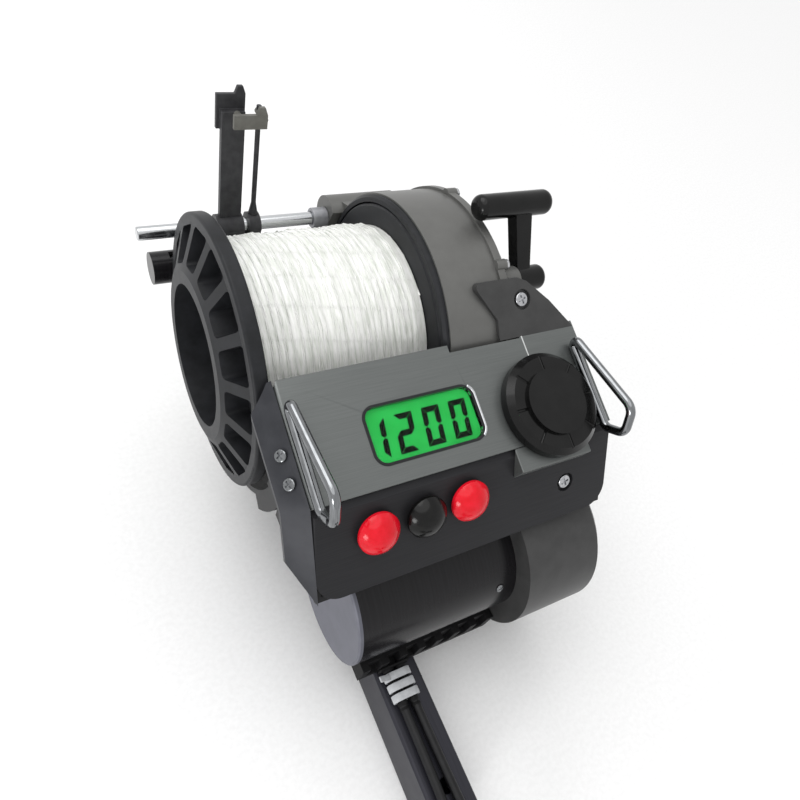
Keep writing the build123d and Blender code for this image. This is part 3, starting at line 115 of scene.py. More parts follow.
def lay_lead(name, points, across):
    """A lead on one smooth curve, with its coil turned to the side that across gives."""
    route = lead_route(points, across)
    curve = bpy.data.curves.new(name, "CURVE")
    curve.dimensions = "3D"
    curve.bevel_depth = 1
    curve.bevel_resolution = 4
    curve.resolution_u = 6
    curve.use_fill_caps = True
    spline = curve.splines.new("NURBS")
    spline.points.add(len(route) - 1)
    for point, place in zip(spline.points, route):
        point.co = (place.x * MM, place.y * MM, place.z * MM, 1)
        point.radius = LEAD_THICK / 2
    spline.order_u = 3
    spline.use_endpoint_u = True
    lead = bpy.data.objects.new(name, curve)
    bpy.context.scene.collection.objects.link(lead)
    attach(lead, "frame")
    return lead


lead_left = lay_lead("lead_left", (
    (LEAD_LEFT, GLAND_FRONT, LEAD_AXIS), (LEAD_LEFT, -222, LEAD_AXIS), (-8.0, -277, LEAD_AXIS),
    (-9.8, -309, 26.05), (-11.7, -343, FLOOR_RUN), (-12.0, -368, FLOOR_RUN)), -1)
lead_right = lay_lead("lead_right", (
    (LEAD_RIGHT, GLAND_FRONT, LEAD_AXIS), (LEAD_RIGHT, -222, LEAD_AXIS), (3.0, -277, LEAD_AXIS),
    (4.8, -309, 26.05), (6.7, -343, FLOOR_RUN), (7.0, -368, FLOOR_RUN)), 1)
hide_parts("power_lead_left", "lead_coil_left")
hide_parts("power_lead_right", "lead_coil_right")


# Finishes. Metal has smears of gloss, about 14 mm across.
SMEAR_SCALE = 70


def paint(code):
    """A linear colour from an sRGB hex code."""
    parts = [int(code[i:i + 2], 16) / 255 for i in (1, 3, 5)]
    return tuple(p / 12.92 if p <= 0.04045 else ((p + 0.055) / 1.055) ** 2.4 for p in parts) + (1,)


def add_node(tree, kind, settings=None, links=None):
    """A shader node with its settings and socket values, and links to it as {socket: (node, output)}."""
    made = tree.nodes.new("ShaderNode" + kind)
    for name, value in (settings or {}).items():
        if isinstance(name, str) and hasattr(made, name):
            setattr(made, name, value)
        else:
            made.inputs[name].default_value = value
    for name, (source, output) in (links or {}).items():
        tree.links.new(source.outputs[output], made.inputs[name])
    return made


def new_finish(name):
    """An empty finish: its tree and the piece's own coordinates, in metres."""
    finish = bpy.data.materials.new(name)
    finish.use_nodes = True
    tree = finish.node_tree
    tree.nodes.clear()
    return finish, tree, add_node(tree, "TexCoord")


def skin(tree, pattern, gloss_pattern, relief_pattern, dark, light, spread, rough, height_mm, sockets):
    """A surface's shading: two shades by a pattern, uneven gloss and a fine relief."""
    share = add_node(tree, "MapRange", {"From Min": spread[0], "From Max": spread[1]},
                     {"Value": (pattern, "Fac")})
    colour = add_node(tree, "Mix", {"data_type": "RGBA", 6: paint(dark), 7: paint(light)},
                      {0: (share, "Result")})
    gloss = add_node(tree, "MapRange", {"To Min": rough[0], "To Max": rough[1]},
                     {"Value": (gloss_pattern, "Fac")})
    relief = add_node(tree, "Bump", {"Distance": height_mm * MM}, {"Height": (relief_pattern, "Fac")})
    shader = add_node(tree, "BsdfPrincipled", sockets, {
        "Base Color": (colour, 2), "Roughness": (gloss, "Result"), "Normal": (relief, "Normal")})
    add_node(tree, "OutputMaterial", links={"Surface": (shader, "BSDF")})


def coated(name, dark, light, patch_mm, grain_mm, height_mm, rough, **sockets):
    """A paint, powder coat or moulded skin: faint mottling, fine grain and uneven gloss."""
    finish, tree, place = new_finish(name)
    patches = add_node(tree, "TexNoise", {"Scale": 1000 / patch_mm, "Detail": 3, "Roughness": 0.55},
                       {"Vector": (place, "Object")})
    grain = add_node(tree, "TexNoise", {"Scale": 1000 / grain_mm, "Detail": 2},
                     {"Vector": (place, "Object")})
    skin(tree, patches, patches, grain, dark, light, (0.35, 0.65), rough, height_mm, sockets)
    return finish


def lined(name, dark, light, middle, stretch, rough, pitch_mm, height_mm, **sockets):
    """Metal with fine lines: tool rings about an axis, drawn or brushed lines along one way.

    The lines stand half a millimetre apart or more, coarser than real ones, which are too fine to show.
    """
    finish, tree, place = new_finish(name)
    centred = add_node(tree, "Mapping", {"vector_type": "TEXTURE", "Location": middle},
                       {"Vector": (place, "Object")})
    drawn_out = add_node(tree, "Mapping", {"Scale": stretch}, {"Vector": (centred, "Vector")})
    lines = add_node(tree, "TexNoise", {"Scale": 1000 / pitch_mm, "Detail": 4, "Roughness": 0.55},
                     {"Vector": (drawn_out, "Vector")})
    smears = add_node(tree, "TexNoise", {"Scale": SMEAR_SCALE, "Detail": 2},
                      {"Vector": (place, "Object")})
    skin(tree, lines, smears, lines, dark, light, (0.3, 0.7), rough, height_mm, sockets)
    return finish


# How much light dull and satin surfaces send straight back
DULL = {"Specular IOR Level": 0.12}
SATIN = {"Specular IOR Level": 0.22}
SPOOL_MIDDLE = tuple(spot(0, 0, 0))
MOTOR_MIDDLE = tuple(spot(0, -131, -68))
ORIGIN = (0, 0, 0)
# How a pattern is stretched to make its lines run along X, along Y or round an axis along X
ALONG_X = (0.02, 1, 1)
ALONG_Y = (1, 0.02, 1)
ROUND_X = (1, 0.04, 0.04)
WIRE_STREAKS = (1, 0.1, 0.1)

# Die-cast aluminium under grey stoved enamel: faintly warm, with orange peel that softens the highlights
grey_enamel = coated("grey_stoved_enamel", "#676765", "#6b6b69", 9, 0.7, 0.01, (0.34, 0.44),
                     Metallic=0.3, **SATIN)
# Arm block and gear case: die-cast, under the same enamel in a darker grey, so edges show as soft glints
dark_casting = coated("dark_grey_cast_enamel", "#404040", "#464646", 9, 0.7, 0.01, (0.34, 0.44),
                      Metallic=0.2, **SATIN)
# Rear shell and control box: die-cast, under near-black enamel with a dull sheen
black_casting = coated("black_cast_enamel", "#2a2a2b", "#303031", 8, 0.7, 0.012, (0.4, 0.5), **DULL)
# Upper panel: aluminium brushed across, under a clear satin lacquer, so its highlight spreads up and down
panel_brushed = lined("panel_brushed_lacquer", "#5f6261", "#676a69", ORIGIN, ALONG_X,
                      (0.34, 0.42), 0.5, 0.003, Metallic=0.6)
# Lower panel and the display's rim: the same brushing as the upper panel, its colour darkened as painted
# shade, where the lower panel turns from the light and the window sits in a recess; little but its sheen
# shows
panel_shaded = lined("panel_brushed_painted_shade", "#29292b", "#2f2f31", ORIGIN, ALONG_X,
                   (0.34, 0.44), 0.5, 0.004, Metallic=0.15, **DULL)
# Side cover: pressed aluminium sprayed with blue-black enamel, an even satin skin
side_enamel = coated("side_blue_black_enamel", "#303135", "#37383c", 10, 0.7, 0.01, (0.36, 0.46),
                     Metallic=0.2, **SATIN)
# Motor's end disc: a turned plate sprayed blue-grey, pale beside the black tube
blue_grey = coated("blue_grey_paint", "#62636c", "#6a6b74", 10, 0.7, 0.01, (0.4, 0.5), Metallic=0.2, **SATIN)
# Spool and mouth ring: moulded black glass-filled nylon, satin, with a fine skin
black_nylon = coated("black_moulded_nylon", "#1c1d1f", "#242528", 7, 0.5, 0.015, (0.4, 0.54), **SATIN)
# Clamp, gland, plugs and switches: black ABS moulded in a spark-eroded tool, matt and very dark
black_texture = coated("black_textured_plastic", "#111112", "#19191a", 5, 0.45, 0.03, (0.5, 0.64), **DULL)
# Drag lever, its grip and the knob: black enamel, stoved to a gloss with small sharp highlights
black_gloss = coated("black_gloss_enamel", "#0c0c0c", "#131313", 12, 0.9, 0.004, (0.12, 0.2), **SATIN)
# Motor and worm tubes: turned aluminium, anodised black, with faint rings under a clear shine
motor_anodised = lined("motor_black_anodised", "#131214", "#1b1a1c", MOTOR_MIDDLE, ROUND_X,
                       (0.2, 0.3), 1.2, 0.006, **SATIN)
# Guide rod, and the crescent at the display's right that is a painted highlight: stainless steel drawn along
# X and polished nearly to a mirror
drawn_steel = lined("drawn_stainless_steel", "#b4b6b8", "#cfd1d3", ORIGIN, ALONG_X,
                    (0.1, 0.2), 0.5, 0.004, Metallic=1.0)
# Bent wire of the loops and the side screws: darker stainless, smooth and nearly a mirror
wire_steel = lined("bent_stainless_wire", "#6f7173", "#898b8d", ORIGIN, WIRE_STREAKS,
                   (0.08, 0.16), 0.5, 0.002, Metallic=1.0)
# Turned steel of shafts and gears: tool rings about the spool's axis
turned_steel = lined("turned_steel", "#8a8d8f", "#a6a9ab", SPOOL_MIDDLE, ROUND_X,
                     (0.25, 0.38), 0.5, 0.01, Metallic=1.0)
# Spool shaft: turned steel, chemically blackened to a dull dark grey
blackened_steel = lined("blackened_steel", "#202022", "#29292b", SPOOL_MIDDLE, ROUND_X,
                        (0.34, 0.46), 0.5, 0.01, Metallic=0.3, **DULL)
# Screws and bolts: cold-headed steel under zinc plate, bright with a faint haze
zinc_plate = coated("zinc_plated_steel", "#a3a4a7", "#bdbec0", 2.5, 0.4, 0.005, (0.2, 0.34), Metallic=1.0)
# Rod collar: bead-blasted aluminium, light and dull
blasted_aluminium = coated("blasted_aluminium", "#8b8c90", "#9b9ca0", 4, 0.35, 0.015, (0.42, 0.55),
                            Metallic=0.6)
# Guide plate and its bars: pressed steel under a light warm grey paint
plate_paint = coated("warm_grey_paint", "#64635e", "#706f6a", 5, 0.5, 0.012, (0.38, 0.5), Metallic=0.3,
                     **SATIN)
# Guide blade, post and carriage: dark grey paint, worn a little lighter in patches
guide_paint = coated("guide_dark_paint", "#343436", "#3f3f41", 5, 0.5, 0.012, (0.38, 0.5), Metallic=0.15,
                     **SATIN)
# Mounting bar: extruded aluminium, anodised dark, with die lines along Y that catch a long sheen
bar_anodised = lined("bar_dark_anodised", "#27272d", "#323239", ORIGIN, ALONG_Y,
                     (0.32, 0.44), 0.5, 0.01, Metallic=0.3, **SATIN)
# Red silicone rubber switch caps: saturated, with a soft shine and a little light let in
red_silicone = coated("red_silicone_cap", "#d90d1f", "#e3182b", 4, 0.8, 0.003, (0.12, 0.18),
                      **{"Subsurface Weight": 0.1, "Subsurface Scale": 0.002,
                         "Subsurface Radius": (1, 0.3, 0.3), "Specular IOR Level": 0.25})
# Black silicone cap: the same moulded rubber, black, with a round soft highlight
black_silicone = coated("black_silicone_cap", "#0b0b0b", "#121211", 4, 0.8, 0.004, (0.14, 0.22), **SATIN)
# Power leads: extruded black PVC, slightly dusty, with a soft shine along the top
lead_pvc = coated("black_pvc_sheath", "#101011", "#19191b", 6, 0.6, 0.01, (0.36, 0.48), **SATIN)
# Cable ties: moulded light grey nylon, satin
tie_nylon = coated("grey_tie_nylon", "#b4b6b9", "#c2c4c7", 3, 0.5, 0.006, (0.35, 0.45), **SATIN)
# Circuit board: green solder mask printed over glass cloth, smooth and shiny
board_mask = coated("green_solder_mask", "#0e4a25", "#14602f", 3, 0.7, 0.01, (0.25, 0.35))
# Ferrite arcs in the motor: sintered, dull dark grey and grainy
ferrite = coated("sintered_ferrite", "#2e2c2c", "#383536", 2, 0.3, 0.02, (0.55, 0.7), **DULL)
# Display window: cast acrylic sheet with an anti-glare film, so it is clear and hardly reflects
window_acrylic = coated("display_clear_acrylic", "#f4f8f4", "#ffffff", 6, 3, 0.001, (0.01, 0.03),
                        IOR=1.15, **{"Transmission Weight": 1.0, "Specular IOR Level": 0.2})
# Display digits: liquid crystal switched dark behind glass, nearly black and without shine
digit_crystal = coated("dark_liquid_crystal", "#081009", "#0c160e", 3, 0.8, 0.002, (0.7, 0.8),
                       **{"Specular IOR Level": 0.02})
# Index line: printed white ink, matt and a little off white
index_paint = coated("white_index_paint", "#c9cbca", "#d8dad9", 2, 0.4, 0.004, (0.4, 0.5))

# Backlit liquid-crystal panel: saturated green that glows, unevenly as a light sheet does
lcd_glow, lcd_tree, lcd_place = new_finish("green_backlit_display")
lcd_cells = add_node(lcd_tree, "TexNoise", {"Scale": 80, "Detail": 1}, {"Vector": (lcd_place, "Object")})
lcd_green = add_node(lcd_tree, "Mix", {"data_type": "RGBA", 6: paint("#189c3e"), 7: paint("#25b04c")},
                     {0: (lcd_cells, "Fac")})
lcd_shader = add_node(lcd_tree, "BsdfPrincipled", {"Roughness": 0.4, "Emission Strength": 0.25, **DULL},
                      {"Base Color": (lcd_green, 2), "Emission Color": (lcd_green, 2)})
add_node(lcd_tree, "OutputMaterial", links={"Surface": (lcd_shader, "BSDF")})

# Nylon monofilament: extruded and milky off-white, with greenish-grey bands of painted shade, set at random
# by noise, for turns lying deeper.
# The bands are about a millimetre wide, coarser than the turns' own, which are too fine to show.
nylon_line, line_tree, line_place = new_finish("milky_nylon_line")
line_shift = add_node(line_tree, "Mapping", {"vector_type": "TEXTURE", "Location": SPOOL_MIDDLE},
                      {"Vector": (line_place, "Object")})
line_drawn = add_node(line_tree, "Mapping", {"Scale": (1, 0.12, 0.12)}, {"Vector": (line_shift, "Vector")})
line_bands = add_node(line_tree, "TexNoise", {"Scale": 900, "Detail": 4}, {"Vector": (line_drawn, "Vector")})
line_spread = add_node(line_tree, "MapRange", {"From Min": 0.32, "From Max": 0.62},
                       {"Value": (line_bands, "Fac")})
# The darker greenish shade is painted shade of deeper turns, the paler one the line's own milky white
line_colour = add_node(line_tree, "Mix", {"data_type": "RGBA", 6: paint("#dfe3da"), 7: paint("#fbfbf8")},
                       {0: (line_spread, "Result")})
line_gloss = add_node(line_tree, "MapRange", {"To Min": 0.16, "To Max": 0.3}, {"Value": (line_bands, "Fac")})
line_shader = add_node(line_tree, "BsdfPrincipled", {
    "IOR": 1.53, "Subsurface Weight": 0.3, "Subsurface Scale": 0.003, "Subsurface Radius": (1, 1, 1),
    "Coat Weight": 0.3, "Coat Roughness": 0.12},
    {"Base Color": (line_colour, 2), "Roughness": (line_gloss, "Result")})
add_node(line_tree, "OutputMaterial", links={"Surface": (line_shader, "BSDF")})


def dress(finish, *names):
    """Gives CAD nodes or new pieces that finish."""
    for name in names:
        mesh = (nodes.get(name) or bpy.data.objects[name]).data
        mesh.materials.clear()
        mesh.materials.append(finish)


dress(grey_enamel, "gear_housing", "right_cover")
dress(dark_casting, "arm_block", "gear_case_outer", "gear_case")
dress(black_casting, "rear_shell", "box_shell")
dress(guide_paint, "guide_blade", "guide_post", "guide_carriage")
dress(panel_brushed, "upper_panel", "knob_ledge")
# The lower panel and the display's rim take the upper panel's brushing darkened as painted shade
dress(panel_shaded, "lower_panel", "lcd_bezel")
dress(side_enamel, "side_cover")
dress(blue_grey, "motor_end_disc")
dress(black_nylon, "spool", "mouth_ring")
dress(black_texture, "button_switches", "potentiometer", "foot_clamp", "bar_plugs", "lead_gland",
      "lead_plugs", "lcd_module")
dress(black_gloss, "drag_lever", "lever_grip", "speed_knob")
dress(motor_anodised, "motor_tube", "worm_tube")
dress(drawn_steel, "guide_rod")
dress(wire_steel, "panel_loops")
dress(turned_steel, "spool_bearings", "drag_ring", "output_gear_shaft", "middle_gear_shaft", "worm_idler",
      "worm_shaft", "lever_shaft", "motor_rotor")
dress(blackened_steel, "spool_shaft")
dress(zinc_plate, "cover_screws", "box_screws", "foot_bolts")
dress(blasted_aluminium, "rod_collar")
dress(plate_paint, "guide_front_plate")
dress(bar_anodised, "mounting_bar")
dress(red_silicone, "button_left", "button_right")
dress(black_silicone, "button_middle")
dress(window_acrylic, "lcd_window")
dress(board_mask, "circuit_board")
dress(ferrite, "motor_magnets")
dress(tie_nylon, "lead_ties")
dress(lead_pvc, "lead_left", "lead_right")


# Making pieces
WELD = 0.002 * MM
FLAT = math.radians(2)
SIDE_NEAR = 0.05 * MM
LEFT_ROUND = 2.3
BROAD_LEAN = math.radians(0.5)
SLIVER_LEAN = math.radians(12)
EDGE_BAND = 3 * MM


def activate(piece):
    """Selects that piece alone and makes it the active one."""
    bpy.ops.object.select_all(action="DESELECT")
    piece.select_set(True)
    bpy.context.view_layer.objects.active = piece


def settle(piece, finish, body, turn=30, flat_faces=False):
    """Gives a finished piece its shading, finish and body."""
    activate(piece)
    bpy.ops.object.shade_smooth_by_angle(angle=math.radians(turn))
    if flat_faces:
        weighing = piece.modifiers.new("weighing", "WEIGHTED_NORMAL")
        weighing.keep_sharp = True
        weighing.weight = 100
        bpy.ops.object.modifier_apply(modifier="weighing")
    piece.data.materials.clear()
    piece.data.materials.append(finish)
    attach(piece, body)
    bpy.ops.object.select_all(action="DESELECT")


def ease_edges(piece, width, segments, sharp=30):
    """Rounds a piece's edges where its faces turn by more than that many degrees."""
    activate(piece)
    easing = piece.modifiers.new("easing", "BEVEL")
    easing.width = width
    easing.segments = segments
    easing.limit_method = "ANGLE"
    easing.angle_limit = math.radians(sharp)
    bpy.ops.object.modifier_apply(modifier="easing")


def merged_copy(name, new_name):
    """A CAD part's mesh with its loose triangles merged into whole faces."""
    piece = nodes[name].copy()
    piece.data = nodes[name].data.copy()
    piece.name = new_name
    piece.parent = None
    piece.matrix_world = Matrix.Identity(4)
    bpy.context.scene.collection.objects.link(piece)
    activate(piece)
    bpy.ops.object.mode_set(mode="EDIT")
    bpy.ops.mesh.select_all(action="SELECT")
    bpy.ops.mesh.remove_doubles(threshold=WELD)
    bpy.ops.mesh.normals_make_consistent(inside=False)
    bpy.ops.mesh.dissolve_limited(angle_limit=FLAT)
    bpy.ops.object.mode_set(mode="OBJECT")
    return piece


def soften_left_edge(piece, x, normal, wide_mm):
    """Rounds the long edge where a panel's outer face meets its left side."""
    activate(piece)
    bpy.ops.object.mode_set(mode="EDIT")
    bpy.ops.mesh.select_all(action="DESELECT")
    shape = bmesh.from_edit_mesh(piece.data)
    for edge in shape.edges:
        at_side = all(abs(vert.co.x - x) < SIDE_NEAR for vert in edge.verts)
        if at_side and any(face.normal.dot(normal) > 0.9 for face in edge.link_faces):
            edge.select_set(True)
    bmesh.update_edit_mesh(piece.data)
    bpy.ops.mesh.bevel(offset=wide_mm * MM, segments=6, affect="EDGES")
    bpy.ops.object.mode_set(mode="OBJECT")


def true_face(piece, outward):
    """A plate's broad face takes one direction at all its corners, so no streak runs across it."""
    leans = [corner.vector.copy() for corner in piece.data.corner_normals]
    for face in piece.data.polygons:
        lean = face.normal.angle(outward)
        inside = all(piece.data.vertices[v].co.x > PANEL_LEFT + EDGE_BAND for v in face.vertices)
        if lean < BROAD_LEAN or inside and lean < SLIVER_LEAN:
            for corner in face.loop_indices:
                leans[corner] = outward.copy()
    piece.data.normals_split_custom_set(leans)


def round_over(name, finish, body, round_mm, sharp=35, steps=3, plane=None):
    """A part's outside made again with its sharp edges rounded, as paint and casting leave them."""
    piece = merged_copy(name, name + "_rounded")
    outward = (plane.to_3x3() @ Vector((0, 0, 1))).normalized() if plane else None
    if plane:
        soften_left_edge(piece, PANEL_LEFT, outward, LEFT_ROUND)
    ease_edges(piece, round_mm * MM, steps, sharp)
    settle(piece, finish, body, flat_faces=True)
    if plane:
        true_face(piece, outward)
    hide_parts(name)


def plane_frame(y, z, slope):
    """The place of a plane that rises away from the angler: across, up its slope, out of it."""
    rise = math.radians(slope)
    place = Matrix(((MM, 0, 0), (0, MM * math.cos(rise), -MM * math.sin(rise)),
                    (0, MM * math.sin(rise), MM * math.cos(rise)))).to_4x4()
    place.translation = spot(0, y, z)
    return place


# The control box's planes: the upper panel falls towards the angler from the
# fold that it shares with the arm block, and the lower panel goes on from it.
SIDE_FOOT = 7.5
PANEL_LEFT = spot(SIDE_FOOT, 0, 0).x
FOLD_REACH = 80.84
FOLD_TURN = math.radians(141.88)
FOLD = (FOLD_REACH * math.cos(FOLD_TURN), FOLD_REACH * math.sin(FOLD_TURN))
PANEL_SLOPE = 18
PANEL_LONG = 57.9
LOWER_SLOPE = 54.9
ARM_SLOPE = 43
UPPER = plane_frame(*FOLD, PANEL_SLOPE)
LOWER = plane_frame(FOLD[0] - PANEL_LONG * math.cos(math.radians(PANEL_SLOPE)),
                    FOLD[1] - PANEL_LONG * math.sin(math.radians(PANEL_SLOPE)), LOWER_SLOPE)
ARM = plane_frame(*FOLD, ARM_SLOPE)


def flat_plates(name, outlines, low, high, place):
    """Thin plates cut to outlines given on a plane, between two heights above it."""
    mesh = bpy.data.meshes.new(name)
    plates = bmesh.new()
    for outline in outlines:
        face = plates.faces.new([plates.verts.new((x, u, low)) for x, u in outline])
        pulled = bmesh.ops.extrude_face_region(plates, geom=[face])["geom"]
        for vert in pulled:
            if isinstance(vert, bmesh.types.BMVert):
                vert.co.z = high
    bmesh.ops.recalc_face_normals(plates, faces=plates.faces)
    bmesh.ops.transform(plates, matrix=place, verts=plates.verts)
    plates.to_mesh(mesh)
    plates.free()
    piece = bpy.data.objects.new(name, mesh)
    bpy.context.scene.collection.objects.link(piece)
    return piece


def rounded_outline(x0, x1, u0, u1, radius, steps=8):
    """A rectangle's outline with round corners, from its right edge round by the top."""
    corners = ((x1 - radius, u1 - radius, 0), (x0 + radius, u1 - radius, 90),
               (x0 + radius, u0 + radius, 180), (x1 - radius, u0 + radius, 270))
    return [(x + radius * math.cos(math.radians(start + 90 * i / steps)),
             u + radius * math.sin(math.radians(start + 90 * i / steps)))
            for x, u, start in corners for i in range(steps + 1)]


# Display: a glowing sheet under the window, with slanted seven-stroke digits.
# Edges are left, right, front and back on the upper panel, levels are heights above it.
DIGIT_WIDE = 10.1
DIGIT_HIGH = 19.8
STROKE = 2.9
STROKE_GAP = 0.12
DIGIT_SLANT = 0.115
DIGIT_FOOT = -44.8
DIGIT_LEFT = (43.9, 59.4, 75.2, 91.1)
DIGIT_LEVELS = (-2.15, -2.0)
FIELD_EDGES = (46.15, 106.85, -47.05, -19.85)
FIELD_LEVELS = (-2.9, -2.2)
# A crescent of mirror steel on the panel at the window's right alone: a painted highlight on the window's
# rounded rim
HIGHLIGHT_OUTER_EDGES = (44.2, 109.7, -48.7, -17.9)
HIGHLIGHT_INNER_EDGES = (45.3, 108.2, -47.2, -19.4)
HIGHLIGHT_LEVELS = (0.02, 0.9)
HIGHLIGHT_END = 6


def digit_strokes():
    """Outlines of a digit's strokes: top, middle, foot and the four uprights."""
    wide, high, thick, gap = DIGIT_WIDE, DIGIT_HIGH, STROKE, STROKE_GAP
    foot = [(gap, 0), (wide - gap, 0), (wide - thick - gap, thick), (thick + gap, thick)]
    waist = [(gap + thick / 4, high / 2), (thick * 0.75 + gap, high / 2 - thick / 2),
             (wide - thick * 0.75 - gap, high / 2 - thick / 2), (wide - gap - thick / 4, high / 2),
             (wide - thick * 0.75 - gap, high / 2 + thick / 2), (thick * 0.75 + gap, high / 2 + thick / 2)]
    low_left = [(0, gap), (thick, thick + gap), (thick, high / 2 - thick / 2 - gap),
                (thick / 2, high / 2 - gap), (0, high / 2 - gap - thick / 4)]
    return {"foot": foot, "waist": waist, "low_left": low_left,
            "top": [(x, high - u) for x, u in foot[::-1]],
            "high_left": [(x, high - u) for x, u in low_left[::-1]],
            "low_right": [(wide - x, u) for x, u in low_left[::-1]],
            "high_right": [(wide - x, high - u) for x, u in low_left]}


ONE = ("high_right", "low_right")
TWO = ("top", "high_right", "waist", "low_left", "foot")
ZERO = ("top", "high_left", "high_right", "low_left", "low_right", "foot")


def make_display():
    """The lit field with its digits, and a crescent of mirror steel at the right of the window, a painted
    highlight on its rim.
    """
    strokes = digit_strokes()
    outlines = [[(left + x + DIGIT_SLANT * u, DIGIT_FOOT + u) for x, u in strokes[stroke]]
                for left, shown in zip(DIGIT_LEFT, (ONE, TWO, ZERO, ZERO)) for stroke in shown]
    digits = flat_plates("display_digits", outlines, *DIGIT_LEVELS, UPPER)
    settle(digits, digit_crystal, "frame")
    field = flat_plates("display_field", [rounded_outline(*FIELD_EDGES, 5.3)], *FIELD_LEVELS, UPPER)
    settle(field, lcd_glow, "frame")
    outer = rounded_outline(*HIGHLIGHT_OUTER_EDGES, 7.2)
    inner = rounded_outline(*HIGHLIGHT_INNER_EDGES, 5.7)
    right_side = list(range(len(outer) - HIGHLIGHT_END, len(outer))) + list(range(HIGHLIGHT_END))
    crescent = [outer[i] for i in right_side] + [inner[i] for i in right_side[::-1]]
    highlight_strip = flat_plates("display_painted_highlight", [crescent], *HIGHLIGHT_LEVELS, UPPER)
    ease_edges(highlight_strip, 0.4 * MM, 3, sharp=50)
    settle(highlight_strip, drawn_steel, "frame")


def screw_head(middle_x, middle_u, base, radius, high, place):
    """A screw's head with a cross recess, standing on a plane at that height."""
    bpy.ops.mesh.primitive_cylinder_add(vertices=32, radius=radius, depth=high,
                                        location=(middle_x, middle_u, base + high / 2))
    head = bpy.context.object
    bpy.ops.object.transform_apply(location=True, rotation=True, scale=True)
    ease_edges(head, high * 0.45, 3)
    for turn in (20, 110):
        bpy.ops.mesh.primitive_cube_add(size=1, location=(middle_x, middle_u, base + high),
                                        rotation=(0, 0, math.radians(turn)),
                                        scale=(radius * 1.25, radius * 0.28, high * 1.1))
        cutter = bpy.context.object
        activate(head)
        recess = head.modifiers.new("recess", "BOOLEAN")
        recess.object = cutter
        bpy.ops.object.modifier_apply(modifier="recess")
        bpy.data.objects.remove(cutter)
    head.data.transform(place)
    return head


# Screws: places on their planes, then depth of the seat, radius and height of the head
ARM_SCREW = (154, 20, -1.8, 4, 1.6)
LOWER_SCREW = (158, -30.3, -1.8, 4, 1.6)
SIDE_SCREW = (-5.8, 0, 0, 3.1, 1.6)
SIDE_SCREW_ROWS = (-30.5, -44.0)
SIDE_BEVEL = math.atan2(10, 10.5)
TUBE_SCREW = (0, 0, 0, 2.6, 0.9)
TUBE_SCREW_X = 122.6
TUBE_RADIUS = 38.3
TUBE_AXIS = Vector((0, -131, -68))
TUBE_SCREW_WAY = Vector((0, -34.1, 17.9)).normalized()


def make_screws():
    """The cross-recess screws of the arm block, the lower panel and the side cover."""
    front = [screw_head(*ARM_SCREW, ARM), screw_head(*LOWER_SCREW, LOWER)]
    side_tilt = Matrix.Rotation(-SIDE_BEVEL, 4, "Y")
    side = [screw_head(*SIDE_SCREW, UPPER @ Matrix.Translation((SIDE_FOOT, u, 0)) @ side_tilt)
            for u in SIDE_SCREW_ROWS]
    for name, pair, finish in (("panel_screw_heads", front, zinc_plate),
                               ("side_screw_heads", side, wire_steel)):
        activate(pair[0])
        pair[1].select_set(True)
        bpy.ops.object.join()
        pair[0].name = name
        settle(pair[0], finish, "frame")
        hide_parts("box_screws")


def make_tube_screw():
    """The small screw through the motor tube's wall near the gear case."""
    rim = TUBE_AXIS + TUBE_SCREW_WAY * TUBE_RADIUS
    upright = Vector((0, 0, 1)).rotation_difference(TUBE_SCREW_WAY).to_matrix().to_4x4()
    place = Matrix.Translation(spot(TUBE_SCREW_X, rim.y, rim.z)) @ upright @ Matrix.Scale(MM, 4)
    head = screw_head(*TUBE_SCREW, place)
    head.name = "motor_tube_screw"
    settle(head, wire_steel, "frame")


def make_index():
    """The white line on the panel that the knob's marks are read against."""
    left, right, front, back = 150.6, 151.3, -11.6, 0.6
    outline = [(left, front), (right, front), (right, back), (left, back)]
    line = flat_plates("knob_index", [outline], 0.02, 0.12, UPPER)
    settle(line, index_paint, "frame")


# Ties round both leads, and the tapered sleeves where they leave the gland
TIE_PLACES = (-178.5, -184.6, -190.6)
TIE_HALF_WIDE = 2.3
TIE_GAP = 3.7
TIE_THICK = 1.3
TAIL_SIZE = (13, 3.4, 1.1)
TAIL_LEAN = 38
TAIL_ASIDE = 9
TAIL_ABOVE = 6.4
LEAD_MIDDLE = -2.5
LEAD_HALF_SPACE = 3.7
RELIEF_LONG = 24
RELIEF_THICK = 3.65
RELIEF_THIN = 3.0
RELIEF_RINGS = 6
RELIEF_CUTS = RELIEF_RINGS * 4
RELIEF_DEEP = 0.5


def tie_band(y):
    """A flat band round both leads at that place along them."""
    ring = [(LEAD_MIDDLE + side * LEAD_HALF_SPACE + TIE_GAP * math.cos(math.radians(turn)),
             LEAD_AXIS + TIE_GAP * math.sin(math.radians(turn)),
             math.cos(math.radians(turn)), math.sin(math.radians(turn)))
            for side, first in ((1, -90), (-1, 90)) for turn in range(first, first + 181, 15)]
    band = bmesh.new()
    rows = []
    for thick, reach in ((0, -1), (TIE_THICK, -1), (TIE_THICK, 1), (0, 1)):
        rows.append([band.verts.new(((x + out_x * thick) * MM, (y + reach * TIE_HALF_WIDE) * MM,
                                     (z + out_z * thick) * MM)) for x, z, out_x, out_z in ring])
    for near, far in zip(rows, rows[1:] + rows[:1]):
        for i in range(len(near)):
            after = (i + 1) % len(near)
            band.faces.new((near[i], near[after], far[after], far[i]))
    bmesh.ops.recalc_face_normals(band, faces=band.faces)
    tie = bpy.data.objects.new("tie_band", bpy.data.meshes.new("tie_band"))
    band.to_mesh(tie.data)
    band.free()
    bpy.context.scene.collection.objects.link(tie)
    ease_edges(tie, 0.45 * MM, 2, sharp=50)
    return tie


